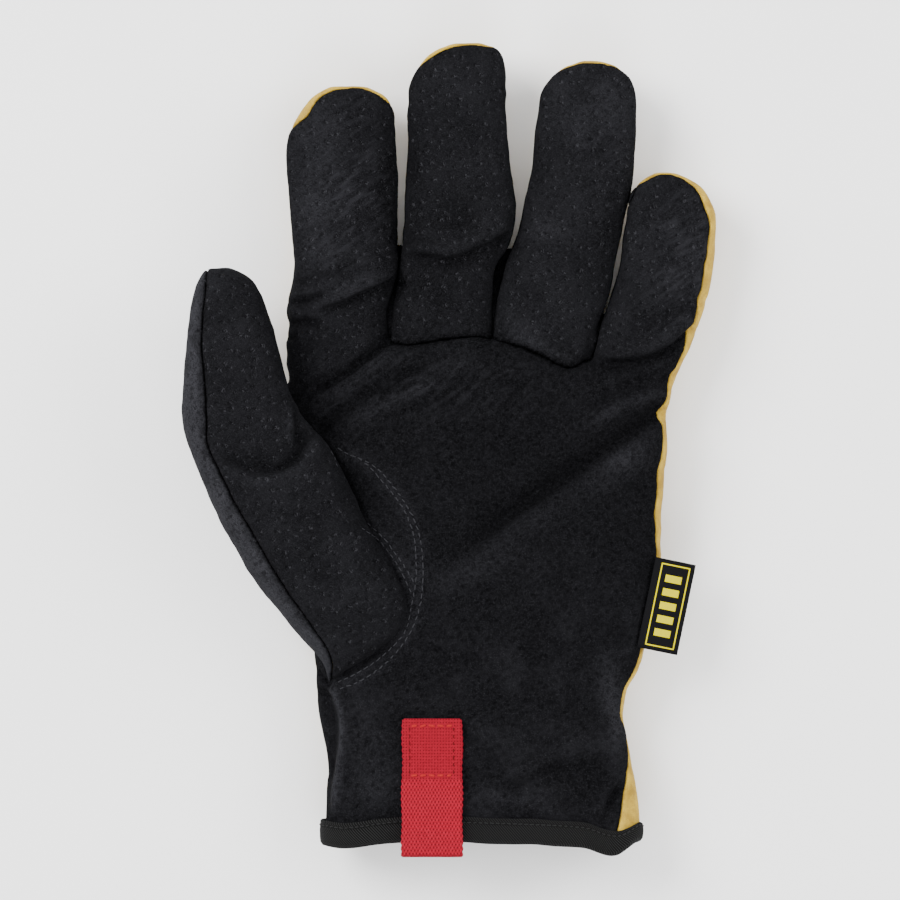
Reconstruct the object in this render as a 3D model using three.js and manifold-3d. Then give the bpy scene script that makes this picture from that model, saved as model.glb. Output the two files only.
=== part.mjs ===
// A left-hand leather driver glove, lying on its back with the palm up.
// Millimetres. +X points to the little-finger side, +Y to the finger tips, +Z up out of the palm.
// The glove is one hollow skin, lofted through level sections and then cut along its seams into
// the leather panels that a glove maker sews together. Neighbouring panels keep a small gap.
import * as THREE from 'three';
import { mergeVertices } from 'three/addons/utils/BufferGeometryUtils.js';
import Module from 'manifold-3d';

const wasm = await Module();
wasm.setup();

// Driving dimensions
const WALL = 1.3; // leather thickness
const GAP = 0.3; // clearance between neighbouring pieces
const TAPE = 0.8; // thickness of the cuff binding tape
const TAPE_HEIGHT = 6.6; // how far the binding reaches up each side of the hem
const ROUNDNESS = 2.35; // exponent of the superellipse that every section is drawn with
const BELLY = 3; // how much deeper than its flat back a section would hang if nothing held it up
const HEM_ROW = -120; // y of the cuff's hem where it isn't curved
const BASE_ROW = 32; // y of the row that lies along the finger-base seam
const SET_IN = 2.5; // how far below that seam's curve the two middle fingers are sewn in
const DOME = 12; // length over which a finger's or the thumb's end rounds off
const THUMB_BELLY = 3; // the thumb's far seam lies this much below its widest line
const WEBBING = {
  width: 19, thickness: 1.2, slot: 0.4, middle: -5.2,
  top: -82.4, bottom: -124.8, sewn: -101, ease: 4, step: 3,
};
const LABEL = { width: 12.8, length: 28.3, thickness: 0.9, x: 66.8, y: -48.1, turn: -0.205, droop: 0.16 };
const SIDES = { hand: 28, finger: 14, thumb: 16 };

// A table is a list of rows with named columns.
const table = (columns, ...rows) =>
  rows.map((row) => Object.fromEntries(columns.split(' ').map((name, i) => [name, row[i]])));

// Level sections of the hand: its left and right edge, the height of its widest line, its palm side
// and its back. hem and base say how far a row follows the curved hem or the finger-base seam.
// The first row is the hem and the second the binding's upper edge.
const HAND = table(
  'y left right mid front back hem base',
  [HEM_ROW, -38.6, 58.6, 13.5, 26.5, 1.5, 1, 0],
  [HEM_ROW + TAPE_HEIGHT, -37.9, 58.4, 13.5, 26.5, 1.4, 0.9, 0],
  [-105, -37.5, 57.8, 13.5, 26.5, 0.9, 0.3, 0],
  [-96, -37.6, 55.6, 13.0, 26.5, 0.2, 0, 0],
  [-86, -39.3, 54.0, 12.5, 26.5, 0, 0, 0],
  [-77, -40.5, 54.4, 12.5, 27.0, 0, 0, 0],
  [-65, -41.1, 59.2, 13.0, 27.5, 0, 0, 0],
  [-54, -42.1, 61.6, 13.0, 28.5, 0, 0, 0],
  [-43, -43.3, 63.6, 13.0, 29.7, 0, 0, 0],
  [-31, -44.7, 65.0, 13.0, 30.0, 0, 0, 0],
  [-19, -45.5, 65.1, 13.0, 29.5, 0, 0, 0],
  [0, -46.8, 67.2, 13.0, 28.5, 0, 0, 0.1],
  [9, -48.3, 66.9, 13.0, 28.0, 0, 0, 0.3],
  [16, -49.4, 68.5, 13.0, 27.0, 0, 0, 0.6],
  [22, -50.1, 69.7, 12.5, 25.0, 0, 0, 0.9],
  [27, -50.3, 71.0, 12.0, 21.5, 1.0, 0, 1],
  [30, -49.5, 71.2, 12.0, 18.5, 3.5, 0, 1],
  [BASE_ROW, -46.0, 68.0, 12.0, 15.0, 8.0, 0, 1],
);

// The hem and the finger-base seam, as heights along the glove's width.
const HEM = table(
  'x y',
  [-38, -120.6], [-32, -121.2], [-15, -119.1], [10, -119.4], [41, -120.9], [51, -123.4], [58.6, -119],
);
const BASE_SEAM = table(
  'x y',
  [-50, 31], [-32, 31], [-15, 33], [0, 34.5], [14, 34], [30, 29.5], [43, 26.5], [58, 28], [74, 31],
);

// Each finger: level sections from inside the hand to the tip.
const FINGERS = {
  index: table(
    'y left right mid front back',
    [20, -48, -17, 12.5, 20, 2],
    [32, -50.3, -16.2, 12.5, 21, 1.2],
    [38, -49.6, -16.2, 12, 20.5, 1],
    [44, -49.4, -16.2, 11.5, 20, 0.8],
    [50, -49.2, -15.9, 11.5, 21.5, 0.6],
    [57, -47.9, -15.5, 11.5, 21, 0.5],
    [66, -48.2, -15.0, 11.5, 19.5, 0.5],
    [86, -49.9, -15.9, 13, 19.5, 2.5],
    [95, -49.4, -16.5, 14, 19.8, 4.5],
    [103, -46.0, -17.0, 15, 20, 6.5],
    [108.5, -42.0, -19.8, 15.5, 19.3, 9],
    [111.4, -36.4, -25.0, 16, 17.8, 12.5],
  ),
  middle: table(
    'y left right mid front back',
    [20, -14.2, 12.4, 12.5, 20, 2],
    [33, -15.4, 12.6, 12.5, 20.5, 1.2],
    [49, -15.0, 12.6, 11.5, 20, 0.7],
    [57, -14.7, 14.4, 11.5, 20.5, 0.5],
    [62, -14.3, 18.1, 11.5, 21.5, 0.5],
    [71, -13.7, 20.5, 11.5, 20.5, 0.5],
    [81, -13.2, 19.6, 11.5, 19, 0.8],
    [92, -12.7, 18.1, 12, 18.5, 2],
    [103, -12.6, 17.7, 13.5, 19, 4],
    [113, -11.8, 17.4, 14.5, 19.5, 6.5],
    [119, -8.6, 16.7, 15.5, 19.2, 8.5],
    [122.8, -4.2, 14.5, 16, 18.5, 10.8],
    [124.8, 1.4, 10.5, 16, 17.4, 13.5],
  ),
  ring: table(
    'y left right mid front back',
    [18, 15, 43, 12.5, 20, 2],
    [31, 13.7, 43.7, 12.5, 21, 1.2],
    [40, 13.7, 46.7, 12, 20.5, 1],
    [48, 15.3, 49.3, 11.5, 20, 0.7],
    [57, 17.6, 51.4, 11.5, 19.5, 0.5],
    [67, 21.1, 53.1, 11.5, 19, 0.5],
    [78, 23.5, 55.4, 11.5, 18.5, 0.9],
    [89, 26.1, 57.0, 12.5, 18.5, 2.3],
    [108, 27.7, 57.6, 14.5, 19.5, 6.5],
    [114, 31.2, 55.8, 15.5, 19.2, 8.5],
    [117.7, 35.5, 51.8, 16, 18.4, 10.8],
    [119.5, 40.5, 47.0, 16, 17.3, 13.5],
  ),
  little: table(
    'y left right mid front back',
    [17, 45.8, 68, 12.5, 20, 1.8],
    [29, 45.4, 73.0, 12.5, 21, 1.2],
    [36, 46.2, 76.2, 12, 21, 1],
    [43, 48.6, 78.5, 11.5, 20.2, 0.8],
    [52, 51.2, 80.7, 11.5, 19.2, 0.9],
    [68, 54.1, 82.0, 13, 19.2, 3],
    [74, 55.1, 81.5, 14, 19.4, 4.8],
    [79.5, 56.8, 78.5, 15, 19.2, 7],
    [83, 60.3, 74.1, 15.5, 18.6, 9.8],
    [84.9, 63.9, 69.4, 16, 17.6, 13],
  ),
};

// The thumb stands forward of the palm. seam is where its two panels meet on the palm side.
const THUMB = table(
  'y left right mid front back seam',
  [-69, -38.5, -33.0, 19, 26, 10, -35.5],
  [-65, -39.8, -23.5, 18, 28.3, 7.6, -35.2],
  [-58, -45.2, -13.2, 17.5, 31, 5.8, -39.3],
  [-50, -51.9, -9.5, 18, 33.3, 5.5, -44.9],
  [-42, -58.3, -11.2, 19, 35.5, 6.5, -50.7],
  [-33, -64.3, -17.0, 20.5, 37.7, 8.2, -56.2],
  [-24, -69.4, -24.0, 22.8, 39.7, 10.2, -61.0],
  [-15, -73.3, -28.5, 25, 41.5, 12.5, -66],
  [1, -79.6, -36.8, 29.2, 41.7, 17.7, -73.5],
  [9, -81.3, -44.0, 30.3, 42.3, 19.3, -74.1],
  [19, -81.7, -49.3, 31.3, 43.7, 20.3, -74.6],
  [30, -80.6, -52.0, 32, 44, 21.3, -75.4],
  [41, -79.5, -54.9, 32.5, 43.5, 23, -75.2],
  [48, -78.2, -57.6, 33, 42.2, 24.8, -74.5],
  [52.5, -76.2, -62.0, 33.5, 40.3, 26.8, -73.6],
  [55.5, -72.5, -68.0, 33.5, 36, 31, -70.5],
);

// Dents and folds of the palm side: a curve from 1 by 2 to 3, its depth and its half width.
// A negative depth is a ridge. on names the body that it is pressed into.
const FOLDS = table(
  'on x1 y1 x2 y2 x3 y3 depth width',
  ['hand', 64, 9, 40, -13, 4, -38, 4.2, 6],
  ['hand', -37, 2, -21, 15, -2, 25, 1.8, 4.5],
  ['hand', -16, 4, -4, 12, 12, 24, -1.1, 4.5],
  ['hand', 24, -112, 40, -103, 56, -92, 1.2, 4.5],
  ['hand', -30, -104, -31.5, -90, -34, -76, -1.0, 3.5],
  ['hand', -33, 20, -25, 26, -16, 33, 1.2, 4],
  ['index', -49, 38.5, -32, 43, -15, 50, 2.6, 3.4],
  ['middle', -14, 62, 2, 55.5, 19, 62, 2.6, 3.4],
  ['little', 45, 27, 60, 26.5, 76, 36, 1.6, 3],
  ['thumb', -66, -6, -55, -8.5, -43, 5, 2.6, 3.6],
  ['thumb', -48.5, 14, -46.5, 6, -47, -4, 1.6, 3],
);
const PALM_HOLLOW = { x: 6, y: -6, reachX: 36, reachY: 34, depth: 5 };

// Seam heights. The front panel ends at front, the back panel at back, and a finger wall lies between.
const SEAM = { left: 7.5, wallBack: 9, wallFront: 15, tip: 17.6, tipRun: 6 };
const RIGHT_SEAM = table(
  'y z',
  [-140, 19.4], [-105, 19.4], [-92, 18.2], [-80, 16.9], [-65, 17.8], [-36, 17.8], [-20, 18.8], [-4, 18.2],
  [13, 17], [37, 16.8], [60, 16.4], [80, 16.6], [130, 16.6],
);

// Where the back panel starts to come round each finger tip.
const TIP_START = { index: 95.5, middle: 114, ring: 108, little: 69 };

// Plan lines: up the gaps between fingers, up the middle of each finger, and up the inside of the
// right edge, where the left seam's height gives way to the right seam's.
const LINES = {
  outer_left: table('x y', [-100, 20], [-100, 130]),
  index_middle: table('x y', [-15.8, 20], [-15.8, 46], [-15.2, 56], [-14.6, 66], [-14.2, 80], [-15.2, 130]),
  middle_ring: table(
    'x y',
    [13.2, 20], [13.2, 40], [14, 49], [16, 57], [18.8, 62], [20.6, 68], [22, 78], [22, 130],
  ),
  ring_little: table(
    'x y',
    [44.4, 20], [44.6, 30], [48, 43], [50.6, 52], [52.5, 61], [54.9, 74], [56.2, 79.5], [60, 86], [62, 130],
  ),
  outer_right: table('x y', [100, 20], [100, 130]),
  index: table('x y', [-32, 20], [-31, 130]),
  middle: table('x y', [-1, 20], [4, 130]),
  ring: table('x y', [28, 20], [44, 130]),
  little: table('x y', [58, 20], [67, 80], [67, 130]),
  inside_right: table('x y', [48, -140], [48, 12], [59, 28], [67, 80], [67, 130]),
};
const NEIGHBOURS = {
  index: ['outer_left', 'index_middle'],
  middle: ['index_middle', 'middle_ring'],
  ring: ['middle_ring', 'ring_little'],
  little: ['ring_little', 'outer_right'],
};
const FAR = 100; // beyond the glove, left and right
const TOP = 130; // beyond the finger tips
const BOTTOM = -140; // beyond the hem
const CEILING = 60; // above the glove
const CELLAR = -10; // below the glove
const ROOT = 22; // y inside the hand where the finger seams begin
const PAST = 12; // how far a hollow runs out past the hem, so that the cuff is open
const MERGE = 1e-4; // vertices closer than this are one
const SLIVER = 0.03; // cuts leave nothing thinner than this

const flip = (points) => [...points].reverse();

// Value of one column of a table at a given key, on a smooth curve through the rows.
function along(rows, key, value, column) {
  const last = rows.length - 1;
  if (value <= rows[0][key]) return rows[0][column];
  if (value >= rows[last][key]) return rows[last][column];
  const i = rows.findIndex((row, k) => k < last && value < rows[k + 1][key]);
  const [a, b] = [rows[i], rows[i + 1]];
  const [before, after] = [rows[Math.max(i - 1, 0)], rows[Math.min(i + 2, last)]];
  const span = b[key] - a[key];
  const slopeA = (b[column] - before[column]) / (b[key] - before[key]);
  const slopeB = (after[column] - a[column]) / (after[key] - a[key]);
  const t = (value - a[key]) / span;
  const [t2, t3] = [t * t, t * t * t];
  return (2 * t3 - 3 * t2 + 1) * a[column] + (t3 - 2 * t2 + t) * span * slopeA
    + (3 * t2 - 2 * t3) * b[column] + (t3 - t2) * span * slopeB;
}

const signedPower = (value, exponent) => Math.sign(value) * Math.abs(value) ** exponent;

// Depth of one fold at a point: a bell across its curve, fading out past both ends.
function foldDepth(fold, x, y) {
  const curve = new THREE.QuadraticBezierCurve(
    new THREE.Vector2(fold.x1, fold.y1),
    new THREE.Vector2(fold.x2, fold.y2),
    new THREE.Vector2(fold.x3, fold.y3));
  const here = new THREE.Vector2(x, y);
  const nearest = Math.min(...curve.getPoints(12).map((p) => p.distanceTo(here)));
  return fold.depth * Math.exp(-((nearest / fold.width) ** 2));
}

// How far the palm side is pressed in at a point.
function relief(body, x, y) {
  const own = FOLDS.filter((fold) => fold.on === body);
  const depth = own.reduce((sum, fold) => sum + foldDepth(fold, x, y), 0);
  if (body !== 'hand') return depth;
  const [u, v] = [(x - PALM_HOLLOW.x) / PALM_HOLLOW.reachX, (y - PALM_HOLLOW.y) / PALM_HOLLOW.reachY];
  return depth + PALM_HOLLOW.depth * Math.exp(-u * u - v * v);
}

// One closed section of a body, grown outwards by grow. It runs from the crown to the right and round.
function ring(body, row, sides, grow) {
  const middle = (row.left + row.right) / 2;
  const halfWidth = (row.right - row.left) / 2 + grow;
  const [front, back] = [row.front + grow, row.back - grow];
  return Array.from({ length: sides }, (unused, i) => {
    const angle = (2 * Math.PI * i) / sides;
    const [across, up] = [Math.sin(angle), Math.cos(angle)].map((v) => signedPower(v, 2 / ROUNDNESS));
    const x = middle + halfWidth * across;
    const pressed = up > 0 ? relief(body, x, row.y) * up : 0;
    const reach = up > 0 ? front - row.mid : row.mid - back + BELLY;
    const z = Math.max(back, row.mid + reach * up - pressed);
    const hemShift = (row.hem ?? 0) * (along(HEM, 'x', x, 'y') - HEM_ROW);
    const baseShift = (row.base ?? 0) * (along(BASE_SEAM, 'x', x, 'y') - BASE_ROW);
    return new THREE.Vector3(x, row.y + hemShift + baseShift, z);
  });
}

// A three.js geometry as a solid that can be joined and cut.
function solid(geometry) {
  const bare = geometry.clone();
  bare.deleteAttribute('normal');
  bare.deleteAttribute('uv');
  const merged = mergeVertices(bare, MERGE);
  return new wasm.Manifold(new wasm.Mesh({
    numProp: 3,
    vertProperties: merged.getAttribute('position').array,
    triVerts: new Uint32Array(merged.index.array),
    tolerance: SLIVER,
  }));
}

// A closed skin through rings of equal length, with a flat fan over each end.
function loft(rings) {
  const sides = rings[0].length;
  const points = rings.flat();
  const centre = (list) => list.reduce((sum, p) => sum.add(p), new THREE.Vector3()).divideScalar(sides);
  points.push(centre(rings[0]), centre(rings[rings.length - 1]));
  const [startFan, endFan] = [points.length - 2, points.length - 1];
  const topRow = (rings.length - 1) * sides;
  const faces = [];
  for (let i = 0; i < sides; i++) {
    const next = (i + 1) % sides;
    for (let j = 0; j < rings.length - 1; j++) {
      const [a, b] = [j * sides + i, j * sides + next];
      faces.push(a, b, b + sides, a, b + sides, a + sides);
    }
    faces.push(startFan, next, i, endFan, topRow + i, topRow + next);
  }
  return solid(new THREE.BufferGeometry().setFromPoints(points).setIndex(faces));
}

// A whole body grown by grow: its end moves with its sides. openBy pushes the first section out.
function body(name, rows, sides, grow, openBy = 0) {
  const end = rows[rows.length - 1].y;
  const rings = rows.map((row) => {
    const share = Math.max(0, 1 - (end - row.y) / DOME);
    return ring(name, row, sides, grow).map((p) => p.setY(p.y + grow * share));
  });
  if (openBy) rings.unshift(rings[0].map((p) => p.clone().setY(p.y - openBy)));
  return loft(rings);
}

const union = (...parts) => parts.reduce((sum, part) => sum.add(part));

function wholeHand(grow, openBy) {
  const fingers = Object.entries(FINGERS).map(([name, rows]) => body(name, rows, SIDES.finger, grow));
  return union(body('hand', HAND, SIDES.hand, grow, openBy), ...fingers);
}

// A prism over an outline in the XY plane, from low to high.
function prism(outline, low = CELLAR, high = CEILING) {
  const shape = new THREE.Shape(outline.map(([x, y]) => new THREE.Vector2(x, y)));
  const geometry = new THREE.ExtrudeGeometry(shape, { depth: high - low, bevelEnabled: false });
  return solid(geometry.translate(0, 0, low));
}

// A prism over an outline in the YZ plane, right across the glove.
function sidePrism(outline) {
  const shape = new THREE.Shape(outline.map(([y, z]) => new THREE.Vector2(y, z)));
  const geometry = new THREE.ExtrudeGeometry(shape, { depth: 2 * FAR, bevelEnabled: false });
  const across = new THREE.Vector3(0, 1, 0);
  const up = new THREE.Vector3(0, 0, 1);
  const out = new THREE.Vector3(1, 0, 0);
  geometry.applyMatrix4(new THREE.Matrix4().makeBasis(across, up, out));
  return solid(geometry.translate(-FAR, 0, 0));
}

// The part of a plan line between two heights, moved sideways by shift.
function stretch(name, from, to, shift = 0) {
  const line = LINES[name];
  const inner = line.filter((p) => p.y > from && p.y < to).map((p) => p.y);
  return [from, ...inner, to].map((y) => {
    const i = Math.max(1, line.findIndex((p) => p.y >= y));
    const [a, b] = [line[i - 1], line[i]];
    return [a.x + ((b.x - a.x) * (y - a.y)) / (b.y - a.y) + shift, y];
  });
}

// The strip of the plan round one gap between fingers, from one finger's middle line to the next's.
// It ends below both fingers' tips, each at its own height.
function gapStrip(left, right, low, high, short) {
  const gapLine = `${left}_${right}`;
  const [endLeft, endRight] = [TIP_START[left] - short, TIP_START[right] - short];
  const step = endLeft < endRight
    ? stretch(gapLine, endLeft, endRight)
    : flip(stretch(gapLine, endRight, endLeft));
  return prism([...stretch(left, ROOT, endLeft), ...step, ...flip(stretch(right, ROOT, endRight))], low, high);
}

// The space below the seam that runs round one finger's tip.
function tipSpace(finger, shift) {
  const start = TIP_START[finger];
  const [left, right] = NEIGHBOURS[finger];
  const profile = sidePrism([
    [start - shift, CELLAR], [TOP, CELLAR], [TOP, SEAM.tip + shift],
    [start + SEAM.tipRun - shift, SEAM.tip + shift], [start - shift, SEAM.wallFront + shift],
  ]);
  const plan = prism([...stretch(left, start - DOME, TOP), ...flip(stretch(right, start - DOME, TOP))]);
  return profile.intersect(plan);
}

const GAP_PAIRS = [['index', 'middle'], ['middle', 'ring'], ['ring', 'little']];
const HALF = GAP / 2;

// Everything on the palm side of the seams, and everything on the back side of them.
function frontSpace() {
  const leftPlan = [[-FAR, BOTTOM], ...stretch('inside_right', BOTTOM, TOP), [-FAR, TOP]];
  const rightProfile = [...RIGHT_SEAM.map(({ y, z }) => [y, z + HALF]), [TOP, CEILING], [BOTTOM, CEILING]];
  const whole = union(prism(leftPlan, SEAM.left + HALF, CEILING), sidePrism(rightProfile));
  const walls = GAP_PAIRS.map(([a, b]) => gapStrip(a, b, CELLAR, SEAM.wallFront + HALF, 0));
  const tips = Object.keys(TIP_START).map((finger) => tipSpace(finger, HALF));
  return [...walls, ...tips].reduce((rest, piece) => rest.subtract(piece), whole);
}

function backSpace() {
  const slab = prism([[-FAR, BOTTOM], [FAR, BOTTOM], [FAR, TOP], [-FAR, TOP]], CELLAR - 1, SEAM.left - HALF);
  const rightPlan = [...stretch('inside_right', BOTTOM, TOP), [FAR, TOP], [FAR, BOTTOM]];
  const rightProfile = [...RIGHT_SEAM.map(({ y, z }) => [y, z - HALF]), [TOP, CELLAR], [BOTTOM, CELLAR]];
  const right = prism(rightPlan).intersect(sidePrism(rightProfile));
  const walls = GAP_PAIRS.map(([a, b]) => gapStrip(a, b, CELLAR, SEAM.wallBack - HALF, -1));
  const tips = Object.keys(TIP_START).map((finger) => tipSpace(finger, -HALF));
  return union(slab, right, ...walls, ...tips);
}

// The plan above the finger-base seam between two gap lines, for the fronts that are set in there.
function insetPlan(left, right, inward) {
  const steps = 12;
  const [from] = stretch(left, ROOT, TOP, inward)[0];
  const [to] = stretch(right, ROOT, TOP, -inward)[0];
  const base = Array.from({ length: steps + 1 }, (unused, i) => {
    const x = from + ((to - from) * i) / steps;
    return [x, along(BASE_SEAM, 'x', x, 'y') - SET_IN + inward];
  });
  const [foot, end] = [base[0][1] + GAP, base[steps][1] + GAP];
  return prism([...base, ...stretch(right, end, TOP, -inward), ...flip(stretch(left, foot, TOP, inward))]);
}

const MATERIALS = {
  palm: new THREE.MeshStandardMaterial({ color: 0x1c1c1f, roughness: 0.95, metalness: 0 }),
  back: new THREE.MeshStandardMaterial({ color: 0xbca368, roughness: 0.85, metalness: 0 }),
  tape: new THREE.MeshStandardMaterial({ color: 0x202020, roughness: 0.9, metalness: 0 }),
  webbing: new THREE.MeshStandardMaterial({ color: 0xb8262e, roughness: 0.75, metalness: 0 }),
  label: new THREE.MeshStandardMaterial({ color: 0x121214, roughness: 0.6, metalness: 0 }),
};

// The largest body of a solid as a named mesh.
function piece(name, shape, material) {
  const largest = shape.decompose().sort((a, b) => b.volume() - a.volume())[0];
  const { vertProperties, triVerts } = largest.getMesh();
  const geometry = new THREE.BufferGeometry();
  geometry.setAttribute('position', new THREE.BufferAttribute(new Float32Array(vertProperties), 3));
  geometry.setIndex(new THREE.BufferAttribute(new Uint32Array(triVerts), 1));
  const mesh = new THREE.Mesh(geometry, MATERIALS[material]);
  mesh.name = name;
  return mesh;
}

// The hand's skin cut into its front panels, its back panel and the walls between the fingers.
function handPanels() {
  const skin = wholeHand(0).subtract(wholeHand(-WALL, PAST));
  const front = skin.intersect(frontSpace());
  const thumbHole = body('thumb', THUMB, SIDES.thumb, 0);
  const palm = front.subtract(insetPlan('index_middle', 'ring_little', -HALF)).subtract(thumbHole);
  const walls = GAP_PAIRS.map(([a, b]) => piece(`finger_wall_${a}_${b}`,
    skin.intersect(gapStrip(a, b, SEAM.wallBack + HALF, SEAM.wallFront - HALF, GAP)), 'palm'));
  return [
    piece('palm_panel', palm, 'palm'),
    piece('middle_finger_front', front.intersect(insetPlan('index_middle', 'middle_ring', HALF)), 'palm'),
    piece('ring_finger_front', front.intersect(insetPlan('middle_ring', 'ring_little', HALF)), 'palm'),
    piece('back_panel', skin.intersect(backSpace()), 'back'),
    ...walls,
  ];
}

// The thumb is its own skin, trimmed where it meets the hand, in a front and a back panel.
function thumbPanels() {
  const skin = body('thumb', THUMB, SIDES.thumb, 0).subtract(body('thumb', THUMB, SIDES.thumb, -WALL));
  const trimmed = skin.subtract(wholeHand(GAP, 0));
  const [foot, tip] = [BOTTOM, TOP];
  const [first, last] = [THUMB[0], THUMB[THUMB.length - 1]];
  const plan = (shift) => prism([
    [FAR, foot], [first.seam + shift, foot], ...THUMB.map((row) => [row.seam + shift, row.y]),
    [last.seam + shift, tip], [FAR, tip],
  ]);
  const above = (shift) => sidePrism([
    [foot, first.mid - THUMB_BELLY + shift], ...THUMB.map((row) => [row.y, row.mid - THUMB_BELLY + shift]),
    [tip, last.mid - THUMB_BELLY + shift], [tip, CEILING], [foot, CEILING],
  ]);
  return [
    piece('thumb_front_panel', trimmed.intersect(plan(HALF)).intersect(above(HALF)), 'palm'),
    piece('thumb_back_panel', trimmed.subtract(plan(-HALF).intersect(above(-HALF))), 'palm'),
  ];
}

// The cuff's end grown by grow, from drop below the hem up to the binding's edge or a row past it.
function cuffEnd(grow, drop, past) {
  const rows = [{ ...HAND[0], y: HEM_ROW - drop }, ...HAND.slice(1, past ? 3 : 2)];
  return loft(rows.map((row) => ring('hand', row, SIDES.hand, grow)));
}

// The binding tape is folded over the hem: outside, round the edge and inside.
function cuffBinding() {
  const outer = cuffEnd(GAP + TAPE, GAP + TAPE, false);
  const hollow = cuffEnd(-WALL - GAP - TAPE, PAST, true);
  const leather = cuffEnd(GAP, GAP, true).subtract(cuffEnd(-WALL - GAP, PAST / 2, true));
  return piece('cuff_binding', outer.subtract(hollow).subtract(leather), 'tape');
}

// Height of the hand's palm side at a point of the plan.
function palmHeight(x, y) {
  const [left, right, mid, front] = ['left', 'right', 'mid', 'front'].map((name) => along(HAND, 'y', y, name));
  const across = (x - (left + right) / 2) / ((right - left) / 2);
  const up = (1 - Math.abs(across) ** ROUNDNESS) ** (1 / ROUNDNESS);
  return mid + (front - mid - relief('hand', x, y)) * up;
}

// A band that lies on the palm side: an outline of lengths and lifts, swept across the width.
function bandOnPalm(outline, left, right) {
  const steps = 4;
  const rings = Array.from({ length: steps + 1 }, (unused, i) => {
    const x = left + ((right - left) * i) / steps;
    return outline.map(([y, lift]) => new THREE.Vector3(x, y, palmHeight(x, Math.max(y, HEM_ROW)) + lift));
  });
  return loft(rings);
}

// The pull tab is a webbing loop, both ends sewn down at the top and the fold free below the hem.
function pullTab() {
  const { width, thickness, slot, top, bottom, middle, sewn, ease, step } = WEBBING;
  const overTape = GAP + TAPE + GAP;
  const tapeTop = HEM_ROW + TAPE_HEIGHT;
  const crown = GAP + 2 * thickness;
  const turn = bottom + thickness;
  const outer = [
    [top, GAP], [top, crown], [sewn, crown], [sewn - ease, crown + slot], [tapeTop + step, crown + slot],
    [tapeTop, overTape + 2 * thickness + slot], [turn, overTape + 2 * thickness + slot],
    [bottom, overTape + 1.6 * thickness], [bottom, overTape + 0.7 * thickness], [turn, overTape],
    [tapeTop, overTape], [tapeTop + step, GAP],
  ];
  const under = GAP + thickness;
  const inner = [
    [sewn - ease, under], [sewn - ease, under + slot], [tapeTop + step, under + slot],
    [tapeTop, overTape + thickness + slot], [turn, overTape + thickness + slot],
    [turn, overTape + thickness], [tapeTop, overTape + thickness], [tapeTop + step, under],
  ];
  const [left, right] = [middle - width / 2, middle + width / 2];
  const loop = bandOnPalm(outer, left, right).subtract(bandOnPalm(inner, left - GAP, right + GAP));
  return piece('pull_tab', loop, 'webbing');
}

// The side label stands out of the seam on the little-finger side and droops a little.
function sideLabel() {
  const box = solid(new THREE.BoxGeometry(LABEL.width, LABEL.length, LABEL.thickness));
  const mesh = piece('side_label', box, 'label');
  const rise = LABEL.thickness / 2 - (Math.sin(LABEL.droop) * LABEL.width) / 2;
  const level = palmHeight(LABEL.x - LABEL.width / 2, LABEL.y) + GAP + rise;
  mesh.rotation.set(0, LABEL.droop, LABEL.turn, 'ZYX');
  mesh.position.set(LABEL.x, LABEL.y, level);
  return mesh;
}

const glove = new THREE.Group();
glove.name = 'leather_driver_glove';
glove.add(...handPanels(), ...thumbPanels(), cuffBinding(), pullTab(), sideLabel());

// The origin is under the middle of the glove, on the surface that it lies on.
const bounds = new THREE.Box3().setFromObject(glove);
const middle = bounds.getCenter(new THREE.Vector3());
glove.position.set(-middle.x, -middle.y, -bounds.min.z);

export default glove;
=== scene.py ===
"""Looks of a left-hand leather driver glove that lies on its back with its palm up.

The glove's soft skin is worked out from level sections: one skin for the hand and its four fingers
and one for the thumb. Both are pressed into folds and then cut along their seams into leather panels.
Lengths are millimetres until make_object turns them into metres; the floor and the lights have metres
from the start. +X is the little-finger side, +Y the finger tips and +Z up out of the palm.
"""
import math

import bpy
import numpy as np
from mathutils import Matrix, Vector
from mathutils.bvhtree import BVHTree
from mathutils.kdtree import KDTree


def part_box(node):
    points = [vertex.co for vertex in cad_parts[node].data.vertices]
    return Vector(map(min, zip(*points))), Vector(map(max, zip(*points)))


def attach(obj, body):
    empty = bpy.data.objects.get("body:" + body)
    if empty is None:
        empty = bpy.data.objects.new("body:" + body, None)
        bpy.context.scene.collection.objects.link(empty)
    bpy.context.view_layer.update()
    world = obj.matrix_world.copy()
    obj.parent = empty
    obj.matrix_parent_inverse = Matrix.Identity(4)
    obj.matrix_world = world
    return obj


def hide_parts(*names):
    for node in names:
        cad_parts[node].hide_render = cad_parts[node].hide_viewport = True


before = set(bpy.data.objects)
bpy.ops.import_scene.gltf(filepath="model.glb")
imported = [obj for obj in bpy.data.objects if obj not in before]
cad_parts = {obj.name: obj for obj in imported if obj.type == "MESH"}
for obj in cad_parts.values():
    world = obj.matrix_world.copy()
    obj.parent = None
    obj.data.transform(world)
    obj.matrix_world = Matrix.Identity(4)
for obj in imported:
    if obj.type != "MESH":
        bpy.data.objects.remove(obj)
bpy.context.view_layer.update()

MM = 0.001
VOXEL = 0.88  # grain of the fused skins
WALL = 1.2  # leather thickness
ROUNDNESS = 2.35  # exponent of the superellipse that every section is drawn with
BELLY = 3  # how much deeper than its flat back a section would hang if nothing held it up
HEM_ROW = -120
BASE_ROW = 32
TAPE = {"height": 6.6, "thickness": 0.8, "gap": 0.15, "rib": 0.62, "narrower": 0.34, "stitched": 5.05}
WEBBING = {"width": 19, "thickness": 1.1, "top": -82.4, "bottom": -123.9, "middle": -5.2, "sewn": -101}
LABEL = {"width": 12.8, "length": 28.3, "thickness": 0.9, "turn": -0.205, "droop": 0.16, "line": 0.42}
VIEW = {"width": 276.3, "x": 0.3, "y": -0.15, "z": 20, "lens": 400, "sensor": 36}
# How far the stitched box on the webbing stays from its edges
BOX = {"left": 2.7, "right": 2.9, "low": 1.2, "high": 2.2}
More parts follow.
